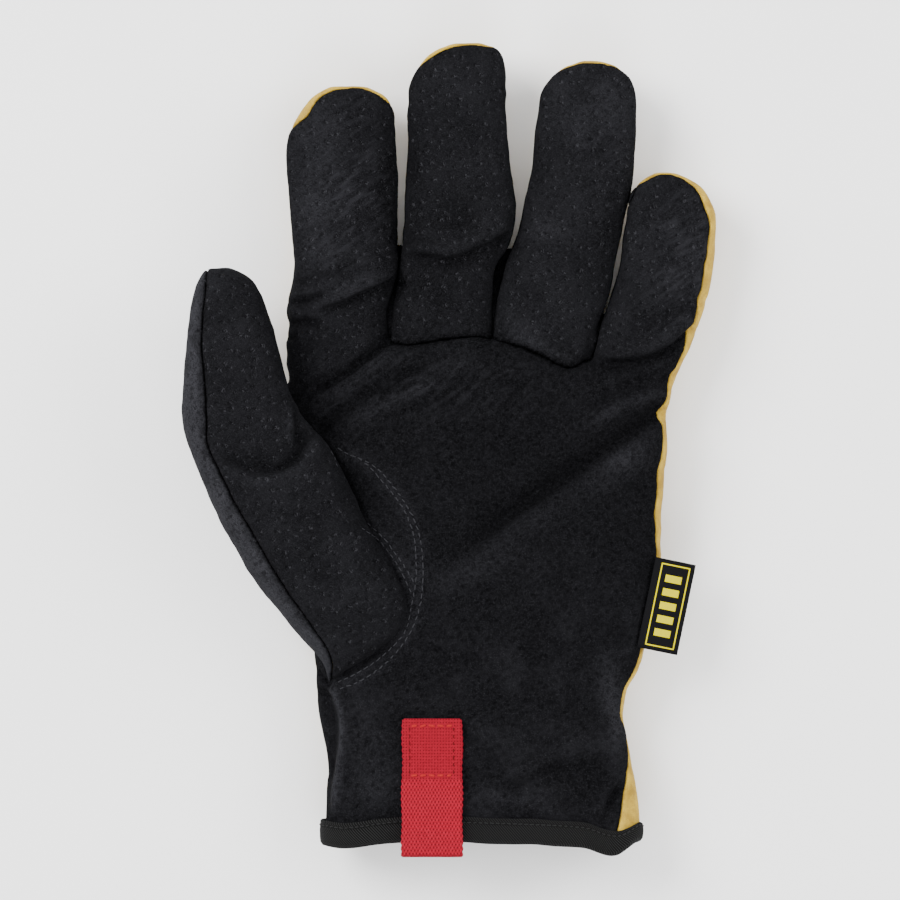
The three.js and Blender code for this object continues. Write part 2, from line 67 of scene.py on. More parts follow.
# How far the label's frame stays from its edges, and its bars: their middles and half their height
FRAME = {"left": 2.2, "right": 1.4, "ends": 1.3, "bar_inset": 2.0, "bar_half": 1.15}
BARS = (-8.4, -4.2, 0, 4.2, 8.4)
# The turned-up edge beside the thumb: half its thickness, its height at the ends and what its middle
# adds, how far it leans and how far it is lifted
LIP = {"half": 0.34, "low": 0.35, "rise": 0.95, "lean": 0.25, "lift": 0.2}
# Each light's place and size in metres, and its power
LIGHTS = {
    "key": ((-0.9, 0.6, 0.95), 0.8, 38),
    "side": ((1.0, 0.25, 0.75), 0.8, 14),
    "front": ((0.1, -1.0, 0.85), 0.9, 12),
}
SKY = 1.35
FLOOR_SIDE = 3.0

# Where the thumb meets the palm: the levels that both skins are cut at, how far that is looked for, and
# how deep and wide each side sinks there
JOIN = {
    "hand_level": -1.2, "thumb_level": -0.6, "reach": 9.0, "hand_sink": (0.9, 1.1), "thumb_sink": (0.7, 1.0),
}
# A panel's rolled edge: the swelling beside it, and how dark and wide the painted shade along it is
EDGE = {"puff": 0.08, "shade": 0.8, "line": 0.35}
# The quilting along a row of stitches, and the painted highlight along it
QUILT = {"margin": 3, "depth": 0.28, "width": 0.7, "wear_and_painted_light": 0.12, "rub_width": 2.0}
LINE_STEP = 0.7  # from point to point of a fold or a quilted row
FOLD_MARGIN = 3.2  # how far a fold is looked for, in its own widths
LATTICE = 32  # knots of the noise on each side
DROP = 80.0  # height above the whole glove, from where places on it are looked for
SIDES = {"hand": 400, "finger": 180, "thumb": 240}  # points round a section
# Sections lie this far apart, and closer over the length where a body rounds off at its end
SPACING = {"plain": 1.2, "close": 0.4, "end": 12}
SEEDS = {"hand": 11, "thumb": 31, "strip": 41, "tape": 51, "stitches": 7, "tab": 9, "tab_sides": 10}
# The reach in Y of the palm's points that are near the thumb
THUMB_SIDE = (-82, 30)

# Colours, as linear red, green and blue
SUEDE = {
    "nap": (0.0011, 0.0011, 0.0013), "worn": (0.0270, 0.0270, 0.0312), "grain": (0.0076, 0.0076, 0.0088),
    "speck": (0.0165, 0.0165, 0.0190), "hollow": (0.0007, 0.0007, 0.0008), "shadow": (0.0006, 0.0006, 0.0007),
    "fleck": (0.044, 0.044, 0.050), "lint": (0.030, 0.030, 0.034),
}
TAN = {
    "dark": (0.255, 0.153, 0.014), "pale": (0.450, 0.300, 0.036), "worn": (0.50, 0.37, 0.11),
    "crease": (0.18, 0.10, 0.015), "flesh_dark": (0.26, 0.19, 0.10), "flesh_pale": (0.40, 0.31, 0.185),
}
RED = {
    "dark": (0.172, 0.0010, 0.0080), "pale": (0.236, 0.0026, 0.0140), "sewn": (0.12, 0.0006, 0.0060),
    "crown": (0.42, 0.026, 0.055), "gap": (0.078, 0.0003, 0.0020),
}
# Yarns of the webbing, in millimetres from one to the next: loose ones, and those under the stitches
YARNS = {"across": 1.05, "down": 1.86, "sewn_across": 0.87, "sewn_down": 0.95}


def grey(level):
    """A colour without a hue."""
    return (level, level, level)


def table(columns, *rows):
    """Rows of numbers as one array for each named column."""
    return {name: np.array([row[i] for row in rows], float) for i, name in enumerate(columns.split())}


SECTION = "y left right mid front back"
HAND = table(
    SECTION + " hem base",
    (HEM_ROW - 8, -38.6, 58.6, 13.5, 26.5, 1.5, 1, 0),
    (HEM_ROW, -38.6, 58.6, 13.5, 26.5, 1.5, 1, 0),
    (-113.4, -37.9, 58.6, 13.5, 26.5, 1.4, 0.9, 0),
    (-105, -37.5, 58.0, 13.5, 26.5, 0.9, 0.3, 0),
    (-96, -37.6, 56.3, 13.0, 26.5, 0.2, 0, 0),
    (-86, -39.3, 54.0, 12.5, 26.5, 0, 0, 0),
    (-77, -40.5, 54.4, 12.5, 27.0, 0, 0, 0),
    (-65, -41.1, 59.2, 13.0, 27.5, 0, 0, 0),
    (-54, -42.1, 61.6, 13.0, 28.5, 0, 0, 0),
    (-43, -43.3, 63.6, 13.0, 29.7, 0, 0, 0),
    (-31, -44.7, 65.0, 13.0, 30.0, 0, 0, 0),
    (-19, -45.5, 65.1, 13.0, 29.5, 0, 0, 0),
    (0, -46.8, 67.2, 13.0, 28.5, 0, 0, 0.1),
    (9, -48.3, 66.9, 13.0, 28.0, 0, 0, 0.3),
    (16, -49.4, 68.5, 13.0, 27.0, 0, 0, 0.6),
    (22, -50.1, 69.7, 12.5, 25.0, 0, 0, 0.9),
    (27, -50.3, 71.0, 12.0, 21.5, 1.0, 0, 1),
    (30, -49.5, 71.2, 12.0, 18.5, 3.5, 0, 1),
    (BASE_ROW, -46.0, 68.0, 12.0, 15.0, 8.0, 0, 1),
)
HEM = table("x y", (-38, -120.6), (-32, -121.2), (-15, -119.1), (10, -119.4), (41, -120.9), (51, -123.4),
    (58.6, -118.4))
# Where the palm ends under each finger, and the seam that the two middle fingers are set in along
BASE = table(
    "x y",
    (-50, 22), (-43, 22.3), (-33, 26.4), (-25.5, 31.2), (-18.2, 34.2), (-12, 37), (0, 38.4), (9, 38.8),
    (13.6, 34.6), (18, 36.3), (24, 35), (30, 32), (37, 29.8), (41, 29.2), (43.8, 27.6), (48, 30.5),
    (60, 32), (68, 34), (74, 35),
)
SET_IN = table(
    "x y",
    (-20, 33.8), (-17.8, 33.4), (-13, 32.7), (-1, 34.1), (8.6, 35.2), (14, 34.2), (21, 32.1), (28.6, 28.7),
    (33.8, 26.2), (37.8, 25.6), (42.7, 27.6), (46, 28),
)
FINGERS = {
    "index": table(
        SECTION,
        (8, -46.5, -19, 12.5, 19, 2),
        (20, -48.6, -17.9, 12.5, 20, 1.6),
        (32, -50.4, -18.3, 12.5, 20.5, 1.2),
        (38, -49.4, -18.9, 12, 20.2, 1),
        (44, -49.6, -18.8, 11.5, 20, 0.8),
        (50, -48.3, -17.0, 11.5, 21.2, 0.6),
        (57, -47.6, -15.8, 11.5, 21, 0.5),
        (66, -48.4, -15.9, 11.5, 19.8, 0.5),
        (86, -49.9, -15.9, 13, 19.5, 2.5),
        (95, -49.4, -16.5, 14, 19.8, 4.5),
        (103, -46.0, -17.0, 15, 20, 6.5),
        (108.5, -42.0, -19.8, 15.5, 19.3, 9),
        (111.4, -36.4, -25.0, 16, 17.8, 12.5),
    ),
    "middle": table(
        SECTION,
        (20, -17.8, 12.8, 12.5, 20, 2),
        (33, -17.8, 12.9, 12.5, 20.5, 1.2),
        (41, -17.5, 13.0, 12, 20.5, 1),
        (49, -16.2, 13.5, 11.5, 20, 0.7),
        (57, -15.0, 15.0, 11.5, 20.5, 0.5),
        (62, -14.5, 18.3, 11.5, 21.5, 0.5),
        (71, -13.7, 20.5, 11.5, 20.5, 0.5),
        (81, -13.2, 19.6, 11.5, 19, 0.8),
        (92, -12.7, 18.1, 12, 18.5, 2),
        (103, -12.6, 17.7, 13.5, 19, 4),
        (113, -11.8, 17.4, 14.5, 19.5, 6.5),
        (119, -8.6, 16.7, 15.5, 19.2, 8.5),
        (122.8, -4.2, 14.5, 16, 18.5, 10.8),
        (124.8, 1.4, 10.5, 16, 17.4, 13.5),
    ),
    "ring": table(
        SECTION,
        (18, 13.4, 43.8, 12.5, 20, 2),
        (31, 13.4, 43.9, 12.5, 21, 1.2),
        (40, 14.1, 46.4, 12, 20.5, 1),
        (48, 15.2, 49.3, 11.5, 20, 0.7),
        (57, 17.2, 51.4, 11.5, 19.5, 0.5),
        (67, 21.1, 53.1, 11.5, 19, 0.5),
        (78, 23.5, 55.4, 11.5, 18.5, 0.9),
        (89, 26.1, 57.0, 12.5, 18.5, 2.3),
        (108, 27.7, 57.6, 14.5, 19.5, 6.5),
        (114, 31.2, 55.8, 15.5, 19.2, 8.5),
        (117.7, 35.5, 51.8, 16, 18.4, 10.8),
        (119.5, 40.5, 47.0, 16, 17.3, 13.5),
    ),
    "little": table(
        SECTION,
        (17, 44.0, 68, 12.5, 20, 1.8),
        (29, 44.1, 73.0, 12.5, 21, 1.2),
        (36, 45.5, 76.2, 12, 21, 1),
        (43, 48.6, 78.5, 11.5, 20.2, 0.8),
        (52, 51.2, 80.7, 11.5, 19.2, 0.9),
        (68, 54.1, 81.9, 13, 19.2, 3),
        (74, 55.1, 81.5, 14, 19.4, 4.8),
        (79.5, 56.8, 78.5, 15, 19.2, 7),
        (83, 60.3, 74.1, 15.5, 18.6, 9.8),
        (84.9, 63.9, 69.4, 16, 17.6, 13),
    ),
}
THUMB = table(
    SECTION + " seam",
    (-73, -37.6, -34.6, 15, 18.5, 11, -36.6),
    (-69.5, -38.6, -31.0, 16.5, 23.3, 9, -36.3),
    (-65, -39.8, -23.5, 17.5, 27.3, 7.6, -36.2),
    (-58, -45.2, -13.2, 17.5, 30.6, 5.8, -39.6),
    (-50, -51.9, -9.5, 18, 33.3, 5.5, -44.9),
    (-42, -58.3, -11.2, 19, 35.5, 6.5, -50.7),
    (-33, -64.3, -17.0, 20.5, 37.7, 8.2, -56.2),
    (-24, -69.4, -24.0, 22.8, 39.7, 10.2, -61.0),
    (-15, -73.3, -28.5, 25, 41.5, 12.5, -66),
    (1, -79.6, -36.8, 29.2, 41.7, 17.7, -73.5),
    (9, -81.3, -44.0, 30.3, 42.3, 19.3, -74.1),
    (19, -81.7, -49.3, 31.3, 43.7, 20.3, -74.6),
    (30, -80.6, -52.0, 32, 44, 21.3, -75.4),
    (41, -79.5, -54.9, 32.5, 43.5, 23, -75.2),
    (48, -78.2, -57.6, 33, 42.2, 24.8, -74.5),
    (52.4, -76.6, -61.1, 33.5, 40.3, 26.8, -74.4),
    (55.3, -74.3, -66.8, 33.5, 37, 30.5, -74.0),
)

# Seam heights. The front panel ends at front and the back panel at back, with a finger wall between.
SEAM = {"left": 7.5, "wall_back": 6.2, "wall_front": 11.6, "tip_run": 6}
RIGHT_SEAM = table(
    "y z",
    (-140, 21.6), (-117, 21.3), (-105.5, 20), (-99, 18.2), (-93, 14.5), (-88, 12.6), (-84.5, 12.8),
    (-80, 16.0), (-73, 16.8), (-65, 16.8), (-36, 17.4), (-20, 18.4), (-4, 18.0), (13, 16.8), (37, 16.6),
    (60, 16.4), (80, 16.6), (130, 16.6),
)
# Over the finger tips the seam climbs from a start to a height of its own on the finger's left and right
TIPS = {
    "index": {"start": (95.5, 103), "height": (18.7, 16.9), "edge": (-49, -17)},
    "middle": {"start": (115, 120), "height": (18.3, 16.9), "edge": (-11, 16)},
    "ring": {"start": (113, 113), "height": (17.1, 17.0), "edge": (30, 57)},
    "little": {"start": (79, 69), "height": (16.9, 17.9), "edge": (56, 80)},
}

# Plan lines up the gaps between the fingers, up the outer fingers' middles and inside the right edge
LINES = {
    "index_middle": table("y x", (20, -17.9), (32, -18.05), (42, -18.2), (50, -16.6), (57, -15.1),
        (66, -14.6), (80, -14.2), (130, -15.2)),
    "middle_ring": table("y x", (20, 13.1), (32, 13.15), (40, 13.5), (48.5, 14.3), (57, 16.1), (62, 18.6),
        (68, 20.8), (78, 22), (130, 22)),
    "ring_little": table("y x", (20, 43.9), (29, 44), (40, 46.9), (52, 50.8), (61, 52.5), (74, 54.9),
        (86, 60), (130, 62)),
    "index": table("y x", (20, -32), (130, -31)),
    "little": table("y x", (20, 58), (80, 67), (130, 67)),
    "inside_right": table("y x", (-140, 48), (12, 48), (28, 59), (80, 67), (130, 67)),
}
GAPS = ("index_middle", "middle_ring", "ring_little")
# The fingers are fused while they stand this far apart, and moved back afterwards
SPREAD = {"index": -2.6, "middle": -0.9, "ring": 0.9, "little": 2.6}
SPREAD_FROM, SPREAD_TO = 31, 41

# The hollow of the palm, and the places where the suede is streaky, each with a middle and reaches
HOLLOW, HOLLOW_DEPTH = (6, -6, 36, 34), 4.6
STREAKS = (((-30, 78, 12, 24), 1), ((74, 58, 11, 24), 1), ((50, 95, 8, 30), 0.45), ((-12, 20, 40, 12), 0.5))
# Where the fingers are low, their sides stand this much farther from the line between them
PARTED = {"index_middle": 0.8, "middle_ring": 0.8, "ring_little": 0.45}

# Folds of each body: first depth, near, far, bulge, reach, lean, start and end, then the points that it
# runs along with its raised side on its left. depth is the valley's, and below zero a ridge's. near and
# far are how wide it is on its left and right, bulge is how high the left side rises at a distance of
# reach, and lean is how far that side hangs over the valley. start and end are the lengths that it
# fades in and out over.
FOLDS = {
    "hand": (
        # index finger: the overhanging bend, the creases under it and the soft ones above it
        ((2.1, 1.3, 3.4, 0.9, 2.8, 0.9, 14, 0.5), (-47, 40.4), (-41, 41.5), (-37, 43.6), (-30, 46.3),
         (-22, 49.8), (-14, 53.6)),
        ((1.6, 0.9, 1.6, 0.8, 1.6, 0.2, 0.5, 4), (-53, 38.5), (-48, 39.3), (-43, 39.6), (-38, 38.6)),
        ((1.7, 1.2, 1.5, 0.7, 2.2, 0.2, 0.5, 5), (-53, 45), (-47, 45.3), (-41, 46.6), (-36, 48.4)),
        ((1.1, 1.6, 2.0, 0.4, 2.6, 0, 2, 6), (-48, 50.5), (-35, 53.9), (-24, 58.5)),
        ((1.5, 1.1, 1.2, 0.6, 1.8, 0, 0.5, 2), (-54, 34), (-49, 34.6), (-46.5, 34.2)),
        # base of the index finger and the two palm folds below it
        ((1.5, 1.0, 2.6, 0.9, 2.2, 0.5, 1, 6), (-17, 33.2), (-25.5, 27.0), (-32.8, 21.8), (-38.7, 18.4),
         (-44, 17.6)),
        ((2.2, 3.0, 2.6, 0.6, 4, 0, 3, 6), (-41, 4.5), (-38, 8.2), (-33.5, 12.4), (-25.5, 18.5),
         (-15, 23.2), (-6, 26.5)),
        ((-0.6, 1.4, 2.0, 0, 2, 0, 6, 4), (-33, 7.0), (-24, 11.6), (-15.7, 15.7), (-6, 20.9), (1.5, 25.8),
         (6, 30)),
        ((0.9, 2.2, 2.2, 0.3, 3, 0, 5, 5), (-20, 8.5), (-8, 14), (3, 20), (10, 26)),
        ((-0.7, 1.4, 1.4, 0, 2, 0, 0.5, 4), (-54, 42.6), (-48, 42.8), (-43.5, 44.2)),
        # middle finger
        ((2.4, 1.7, 3.2, 0.5, 3.4, 0.25, 4, 1), (-14.5, 60.2), (-6, 58.4), (0.5, 57.7), (6.5, 59.6),
         (13.5, 62.6), (20, 66)),
        ((0.8, 1.8, 1.8, 0.3, 2.5, 0, 0.5, 6), (-18, 66), (-12, 64.2), (-6, 64), (0, 65.2)),
        ((0.5, 2.2, 2.2, 0.2, 2.5, 0, 4, 4), (-8, 72), (2, 69.5), (14, 73)),
        # finger-base seam: the fingers stand up out of it
        ((0.7, 1.3, 1.5, 0.3, 2.2, 0, 1, 1), (-17.8, 33.2), (-13, 32.6), (-1, 34.0), (8.6, 35.1),
         (13.8, 34.3)),
        ((0.7, 1.3, 1.5, 0.3, 2.2, 0, 1, 1), (14.5, 34), (21, 32.0), (28.6, 28.6), (33.8, 26.1),
         (37.8, 25.5), (43, 27.6)),
        # ring finger
        ((0.6, 2.0, 2.6, 0.2, 2.5, 0, 5, 5), (36, 62), (42, 56), (50, 53)),
        ((0.8, 0.7, 0.8, 0.25, 1.1, 0, 0.5, 3), (14.9, 33.8), (15.7, 37.5), (17.2, 42.5)),
        ((0.8, 0.7, 0.8, 0.25, 1.1, 0, 0.5, 3), (15.9, 33.8), (18.0, 37.8), (21.0, 42.8)),
        # little finger
        ((2.3, 1.4, 2.2, 0.7, 2.8, 0.6, 6, 2.5), (43.5, 27.0), (48.2, 26.6), (60.2, 27.8), (67.5, 31.0),
         (72, 34.4), (77, 38.4)),
        ((0.9, 2.4, 2.4, 0.3, 3, 0, 5, 1), (52, 36.5), (59.8, 39.5), (70, 43.6), (80, 47)),
        ((0.5, 2.0, 2.0, 0.2, 2.5, 0, 4, 1), (60, 50), (70, 53), (80, 58)),
        # the long palm fold from the little finger's side down into the hollow, and the ridge over it
        ((3.1, 1.9, 4.4, 0.85, 5.6, 0.5, 5, 26), (69, 12.4), (64, 9.8), (58, 5.8), (50, 0.2), (40, -6.2),
         (29.5, -13.2), (18, -20.5), (8, -28), (-2, -37)),
        ((-0.9, 1.6, 2.2, 0, 2, 0, 9, 3), (40, 5), (46, 9.4), (51.5, 12.6), (57, 15.0), (63, 17),
         (68, 18)),
        ((0.9, 1.8, 2.6, 0.3, 2.5, 0, 6, 0.5), (42, 14), (52, 19.5), (62, 22.5), (73, 22)),
        ((0.8, 1.4, 2.4, 0.4, 2, 0, 3, 5), (45, 26), (47.5, 21.5), (48, 16.5), (46, 11)),
        ((0.6, 2.2, 3.0, 0.3, 3, 0, 8, 1), (42, -20), (52, -14), (60, -9), (67, -5)),
        # wrist and heel
        ((1.3, 2.5, 3.6, 0.4, 4, 0, 9, 4), (14, -106), (26, -101.5), (38, -97), (52, -93.5)),
        ((1.3, 0.9, 1.8, 0.6, 1.4, 0.3, 0.5, 3), (45.6, -116.6), (47.5, -112), (49.5, -107), (53, -102)),
        ((0.8, 2.4, 2.4, 0.3, 3, 0, 3, 4), (59, -82), (50, -84), (42, -88)),
        ((-2.4, 1.0, 1.6, 0, 1, 0, 2, 6), (-36.4, -72.5), (-33.2, -78), (-32.1, -86), (-33.2, -100),
         (-35.0, -114)),
        ((1.7, 2.0, 2.4, 0.2, 2.5, 0, 3, 6), (-40, -72), (-37.0, -79), (-36.2, -88), (-37.4, -104)),
        ((1.1, 0.8, 1.2, 0.5, 1.2, 0.3, 0.5, 1.5), (-36, -73), (-39.5, -69.5), (-43.5, -63)),
        ((0.8, 0.8, 1.2, 0.4, 1.2, 0, 0.5, 2), (-35, -76.5), (-39, -74.5), (-43, -71)),
    ),
    "thumb": (
        # thumb: the bend under its pad, the pocket beside it and the ridge between them
        ((2.5, 1.3, 4.6, 0.75, 2.8, 0.8, 2, 9), (-41.4, 6.5), (-42.8, 2.5), (-45.6, -2.4), (-50.5, -5.9),
         (-58, -7.4), (-66, -4.2), (-71, 0)),
        ((2.0, 1.4, 2.0, 0, 2, 0, 3, 4), (-46.3, 13.5), (-45.6, 7), (-46.2, 0.5)),
        ((-0.9, 0.9, 1.3, 0, 1, 0, 3, 4), (-48.9, 15), (-48.5, 7), (-48.2, -1)),
        ((0.6, 2.5, 2.5, 0.2, 3, 0, 6, 6), (-72, 22), (-64, 19), (-54, 21)),
        ((0.5, 2.5, 2.5, 0.2, 3, 0, 6, 6), (-40, -24), (-50, -21), (-60, -17)),
    ),
}

# Spots of painted light on the palm side, and of painted shade where the amount is below zero: x, y,
# how far it reaches across and along, its turn in degrees, and the amount
PAINTED_LIGHT_AND_SHADE = (
    (-41, 80, 7.5, 22, 0, 0.38), (-18.5, 80, 3.8, 26, 0, -0.4), (-38, 17, 8, 4, 20, 0.1),
    (-10.5, 84, 3.4, 24, 0, -0.16), (2, 73, 10, 8, 0, -0.12), (-2, 46, 12, 9, 0, -0.16),
    (0, 116, 9, 5, 0, 0.08), (41, 104, 14, 14, 0, 0.22), (53, 104, 4, 18, 0, 0.16),
    (50, 66, 4.5, 13, -10, -0.22), (25, 37, 7, 4, -20, 0.16), (33, 67, 8, 16, -15, 0.16),
    (77, 66, 4, 14, 0, 0.22), (64, 62, 14, 20, 0, 0.12), (18, 2, 26, 14, 0, -0.06),
    (51, -4, 10, 6, 33, 0.34), (9, -36, 14, 4.5, 25, 0.2), (16, -107, 12, 4, 0, 0.16),
    (51, -80, 3.6, 12, 8, 0.75), (-26, -98, 9, 18, 0, 0.2), (-22.5, -26, 3, 8, 25, 0.18),
    (-37, 45, 12, 5, 20, 0.1), (27, 32.2, 9, 1.8, -25, 0.24), (28, -110, 20, 2.2, -16, 0.15),
)

# Rows of stitches on the palm beside the thumb
STITCH_ROWS = {
    "patch_outer": (
        (-34.5, 0.7), (-31, -1.4), (-25.5, -3.6), (-21.2, -6.6), (-17.2, -11.2), (-14.1, -15.5),
        (-11.1, -20.7), (-9.2, -25.9), (-8.2, -32), (-8.0, -39.8), (-9.2, -49), (-12.6, -57.3),
        (-19.3, -65.4), (-27.3, -71), (-34, -73.6),
    ),
    "patch_inner": (
        (-28, -2.4), (-24.6, -5.1), (-20.9, -9.3), (-16, -15.2), (-13.2, -19.8), (-10.8, -26.5),
        (-10.1, -33.9), (-10.2, -40.5), (-11.6, -48.4), (-13.6, -56), (-20.9, -63.7), (-27.9, -68.4),
        (-34.5, -71.6),
    ),
    "thumb_inner": (
        (-27, -23.8), (-21.5, -27.9), (-17.8, -32.4), (-15.3, -36.1), (-13.2, -40.4), (-11.4, -44.2),
    ),
    "thumb_outer": (
        (-25.4, -22.2), (-19.6, -27.6), (-16.9, -31.3), (-14.6, -34.4), (-12, -38.5), (-10.6, -41),
    ),
    "loose": (
        (-36.2, -0.5), (-35.0, -2.6), (-34.2, -5.4),
    ),
}
# The turned-up edge of the palm's leather beside the thumb
THUMB_LIP = (
    (-33.2, -9.6), (-32.0, -11.2), (-30.4, -13.4), (-29.4, -15.6), (-28.6, -18.6), (-27.4, -21.2),
    (-25.2, -24.7), (-22.4, -29.0),
)
# Looks carried on each point. The first is random pale wear together with painted light on fold ridges, along
# stitch rows, on the thumb strip, on the thumb's lip and in pale spots. The second is painted shade in fold
# valleys, along seam edges and in dark spots.
LOOKS = ("wear_and_painted_light", "shade", "finger", "cloudy", "streaky", "steep", "inside")
STITCH = {"length": 1.85, "pitch": 2.35, "radius": 0.155}
# A stitch's rings: each one's share of the length, its share of the radius, and how far it is raised
BEAD = ((-0.5, 0.35, -0.9), (-0.36, 0.9, -0.2), (0, 1.0, 0.25), (0.36, 0.9, -0.2), (0.5, 0.35, -0.9))
# The folded leather between two fingers ends this far up them
WEBS = {"index_middle": 63, "middle_ring": 62, "ring_little": 42}
WEB = {"start": 29, "half": 2.6, "thickness": 0.9, "top": 13.0, "fall": 5.8, "sag": 0.16}


def along(rows, key, column, value):
    """One column of a table at given keys, on a smooth curve through the rows."""
    k, c = rows[key], rows[column]
    last = len(k) - 1
    i = np.clip(np.searchsorted(k, value, side="right") - 1, 0, last - 1)
    before, after = np.maximum(i - 1, 0), np.minimum(i + 2, last)
    span = k[i + 1] - k[i]
    slope_a = (c[i + 1] - c[before]) / (k[i + 1] - k[before])
    slope_b = (c[after] - c[i]) / (k[after] - k[i])
    t = np.clip((value - k[i]) / span, 0, 1)
    return ((2 * t**3 - 3 * t**2 + 1) * c[i] + (t**3 - 2 * t**2 + t) * span * slope_a
            + (3 * t**2 - 2 * t**3) * c[i + 1] + (t**3 - t**2) * span * slope_b)


def plan_x(name, y):
    """X of a plan line at heights y."""
    return np.interp(y, LINES[name]["y"], LINES[name]["x"])


def smoothstep(value, low, high):
    """0 up to low, 1 from high on, and an even curve between them."""
    t = np.clip((value - low) / (high - low), 0, 1)
    return t * t * (3 - 2 * t)


def signed_power(value, exponent):
    """A power of a value's size, with the value's sign."""
    return np.sign(value) * np.abs(value) ** exponent


def mound(at_x, at_y, x, y, reach_x, reach_y, turn=0.0):
    """1 at a place in plan and less around it. It reaches across and along, turned by some degrees."""
    c, s = math.cos(math.radians(turn)), math.sin(math.radians(turn))
    dx, dy = at_x - x, at_y - y
    u, v = (dx * c + dy * s) / reach_x, (dy * c - dx * s) / reach_y
    return np.exp(-u * u - v * v)


def noise(points, size, seed):
    """Smooth noise between about -1 and 1, with lumps of the given size in each direction."""
    lattice = np.random.default_rng(seed).uniform(-1, 1, (LATTICE, LATTICE, LATTICE))
    place = points / np.asarray(size, float) + 512.3
    cell = np.floor(place).astype(int)
    t = place - cell
    t = t * t * (3 - 2 * t)
    total = np.zeros(len(points))
    for corner in np.ndindex(2, 2, 2):
        weight = np.prod(np.where(corner, t, 1 - t), axis=1)
        i, j, k = ((cell + corner) % LATTICE).T
        total += weight * lattice[i, j, k]
    return total


def run_along(line):
    """How far each point of a line is from its start."""
    return np.concatenate([[0], np.cumsum(np.linalg.norm(np.diff(line, axis=0), axis=1))])


def smooth_line(points, step=LINE_STEP):
    """Evenly spaced points on a smooth curve through the given ones."""
    p = np.array(points, float)
    length = run_along(p)
    rows = {"s": length, "x": p[:, 0], "y": p[:, 1]}
    s = np.linspace(0, length[-1], max(2, int(length[-1] / step) + 1))
    return np.stack([along(rows, "s", "x", s), along(rows, "s", "y", s)], 1)


def hem_line(x, z):
    """Y of the hem, whose dips fade from the front of the cuff to its back."""
    return HEM_ROW + (along(HEM, "x", "y", x) - HEM_ROW) * (0.25 + 0.75 * smoothstep(z, 6, 22))


def section_rings(rows, y, sides, grow=0.0):
    """Level sections of a body at heights y, as an array of heights by sides by 3."""
    angle = np.arange(sides) * 2 * np.pi / sides
    across, up = signed_power(np.sin(angle), 2 / ROUNDNESS), signed_power(np.cos(angle), 2 / ROUNDNESS)
    left, right, mid, front, back = (along(rows, "y", name, y)[:, None] for name in SECTION.split()[1:])
    x = (left + right) / 2 + ((right - left) / 2 + grow) * across
    reach = np.where(up > 0, front + grow - mid, mid - back + grow + BELLY)
    z = np.maximum(back - grow, mid + reach * up)
    level = np.repeat(np.asarray(y, float)[:, None], sides, axis=1)
    if "hem" in rows:
        level = level + along(rows, "y", "hem", y)[:, None] * (hem_line(x, z) - HEM_ROW)
        level = level + along(rows, "y", "base", y)[:, None] * (along(BASE, "x", "y", x) - BASE_ROW)
    return np.stack([x, level, z], -1)


def loft(rings):
    """A closed skin through rings of equal length, with a fan over each end."""
    count, sides = rings.shape[:2]
    points = np.concatenate([rings.reshape(-1, 3), rings[:1].mean(1), rings[-1:].mean(1)])
    i = np.arange(sides)
    after = (i + 1) % sides
    faces = []
    for j in range(count - 1):
        a, b = j * sides + i, j * sides + after
        faces += [np.stack([a, b, b + sides], 1), np.stack([a, b + sides, a + sides], 1)]
    start, end, top = count * sides, count * sides + 1, (count - 1) * sides
    faces.append(np.stack([np.full(sides, start), after, i], 1))
    faces.append(np.stack([np.full(sides, end), top + i, top + after], 1))
    return points, np.concatenate(faces)


def body_skin(rows, sides):
    """A body's closed skin, with closer sections where its end rounds off."""
    first, last = rows["y"][0], rows["y"][-1]
    rounding = last - SPACING["end"]
    plain, close = np.arange(first, rounding, SPACING["plain"]), np.arange(rounding, last, SPACING["close"])
    y = np.concatenate([plain, close, [last]])
    return loft(section_rings(rows, y, sides))


def joined(skins):
    """Several skins as one set of points and faces."""
    points, faces, count = [], [], 0
    for p, f in skins:
        points.append(p)
        faces.append(f + count)
        count += len(p)
    return np.concatenate(points), np.concatenate(faces)


def to_mesh(name, points, faces):
    """A mesh from arrays. faces has 3 or 4 columns."""
    mesh = bpy.data.meshes.new(name)
    mesh.vertices.add(len(points))
    mesh.vertices.foreach_set("co", np.ascontiguousarray(points, np.float32).ravel())
    mesh.loops.add(faces.size)
    mesh.loops.foreach_set("vertex_index", np.ascontiguousarray(faces, np.int32).ravel())
    mesh.polygons.add(len(faces))
    mesh.polygons.foreach_set("loop_start", np.arange(0, faces.size, faces.shape[1], dtype=np.int32))
    mesh.update(calc_edges=True)
    mesh.validate()
    return mesh


def fused(skins):
    """One closed skin round several closed skins that overlap."""
    thing = bpy.data.objects.new("fusing", to_mesh("fusing", *joined(skins)))
    bpy.context.scene.collection.objects.link(thing)
    grain = thing.modifiers.new("grain", "REMESH")
    grain.mode = "VOXEL"
    grain.voxel_size = VOXEL
    mesh = bpy.data.meshes.new_from_object(thing.evaluated_get(bpy.context.evaluated_depsgraph_get()))
    mesh.calc_loop_triangles()
    points = np.empty(len(mesh.vertices) * 3, np.float32)
    mesh.vertices.foreach_get("co", points)
    faces = np.empty(len(mesh.loop_triangles) * 3, np.int32)
    mesh.loop_triangles.foreach_get("vertices", faces)
    bpy.data.objects.remove(thing)
    bpy.data.meshes.remove(mesh)
    return points.reshape(-1, 3).astype(float), faces.reshape(-1, 3)


def edges_of(faces):
    """Every edge once, as pairs of points."""
    pairs = np.sort(np.concatenate([faces[:, [0, 1]], faces[:, [1, 2]], faces[:, [2, 0]]]), axis=1)
    return np.unique(pairs, axis=0)


def smoothed(points, faces, rounds, back=-0.53, held=None):
    """Points eased towards their neighbours. With a negative back they don't shrink."""
    a, b = edges_of(faces).T
    count = np.bincount(a, minlength=len(points)) + np.bincount(b, minlength=len(points))
    out = points.copy()
    for turn in range(2 * rounds):
        mean = np.stack([np.bincount(a, out[b, k], len(out)) + np.bincount(b, out[a, k], len(out))
                         for k in range(3)], 1) / np.maximum(count, 1)[:, None]
        step = (0.5 if turn % 2 == 0 else back) * (mean - out)
        if held is not None:
            step[held] = 0
        out += step
    return out


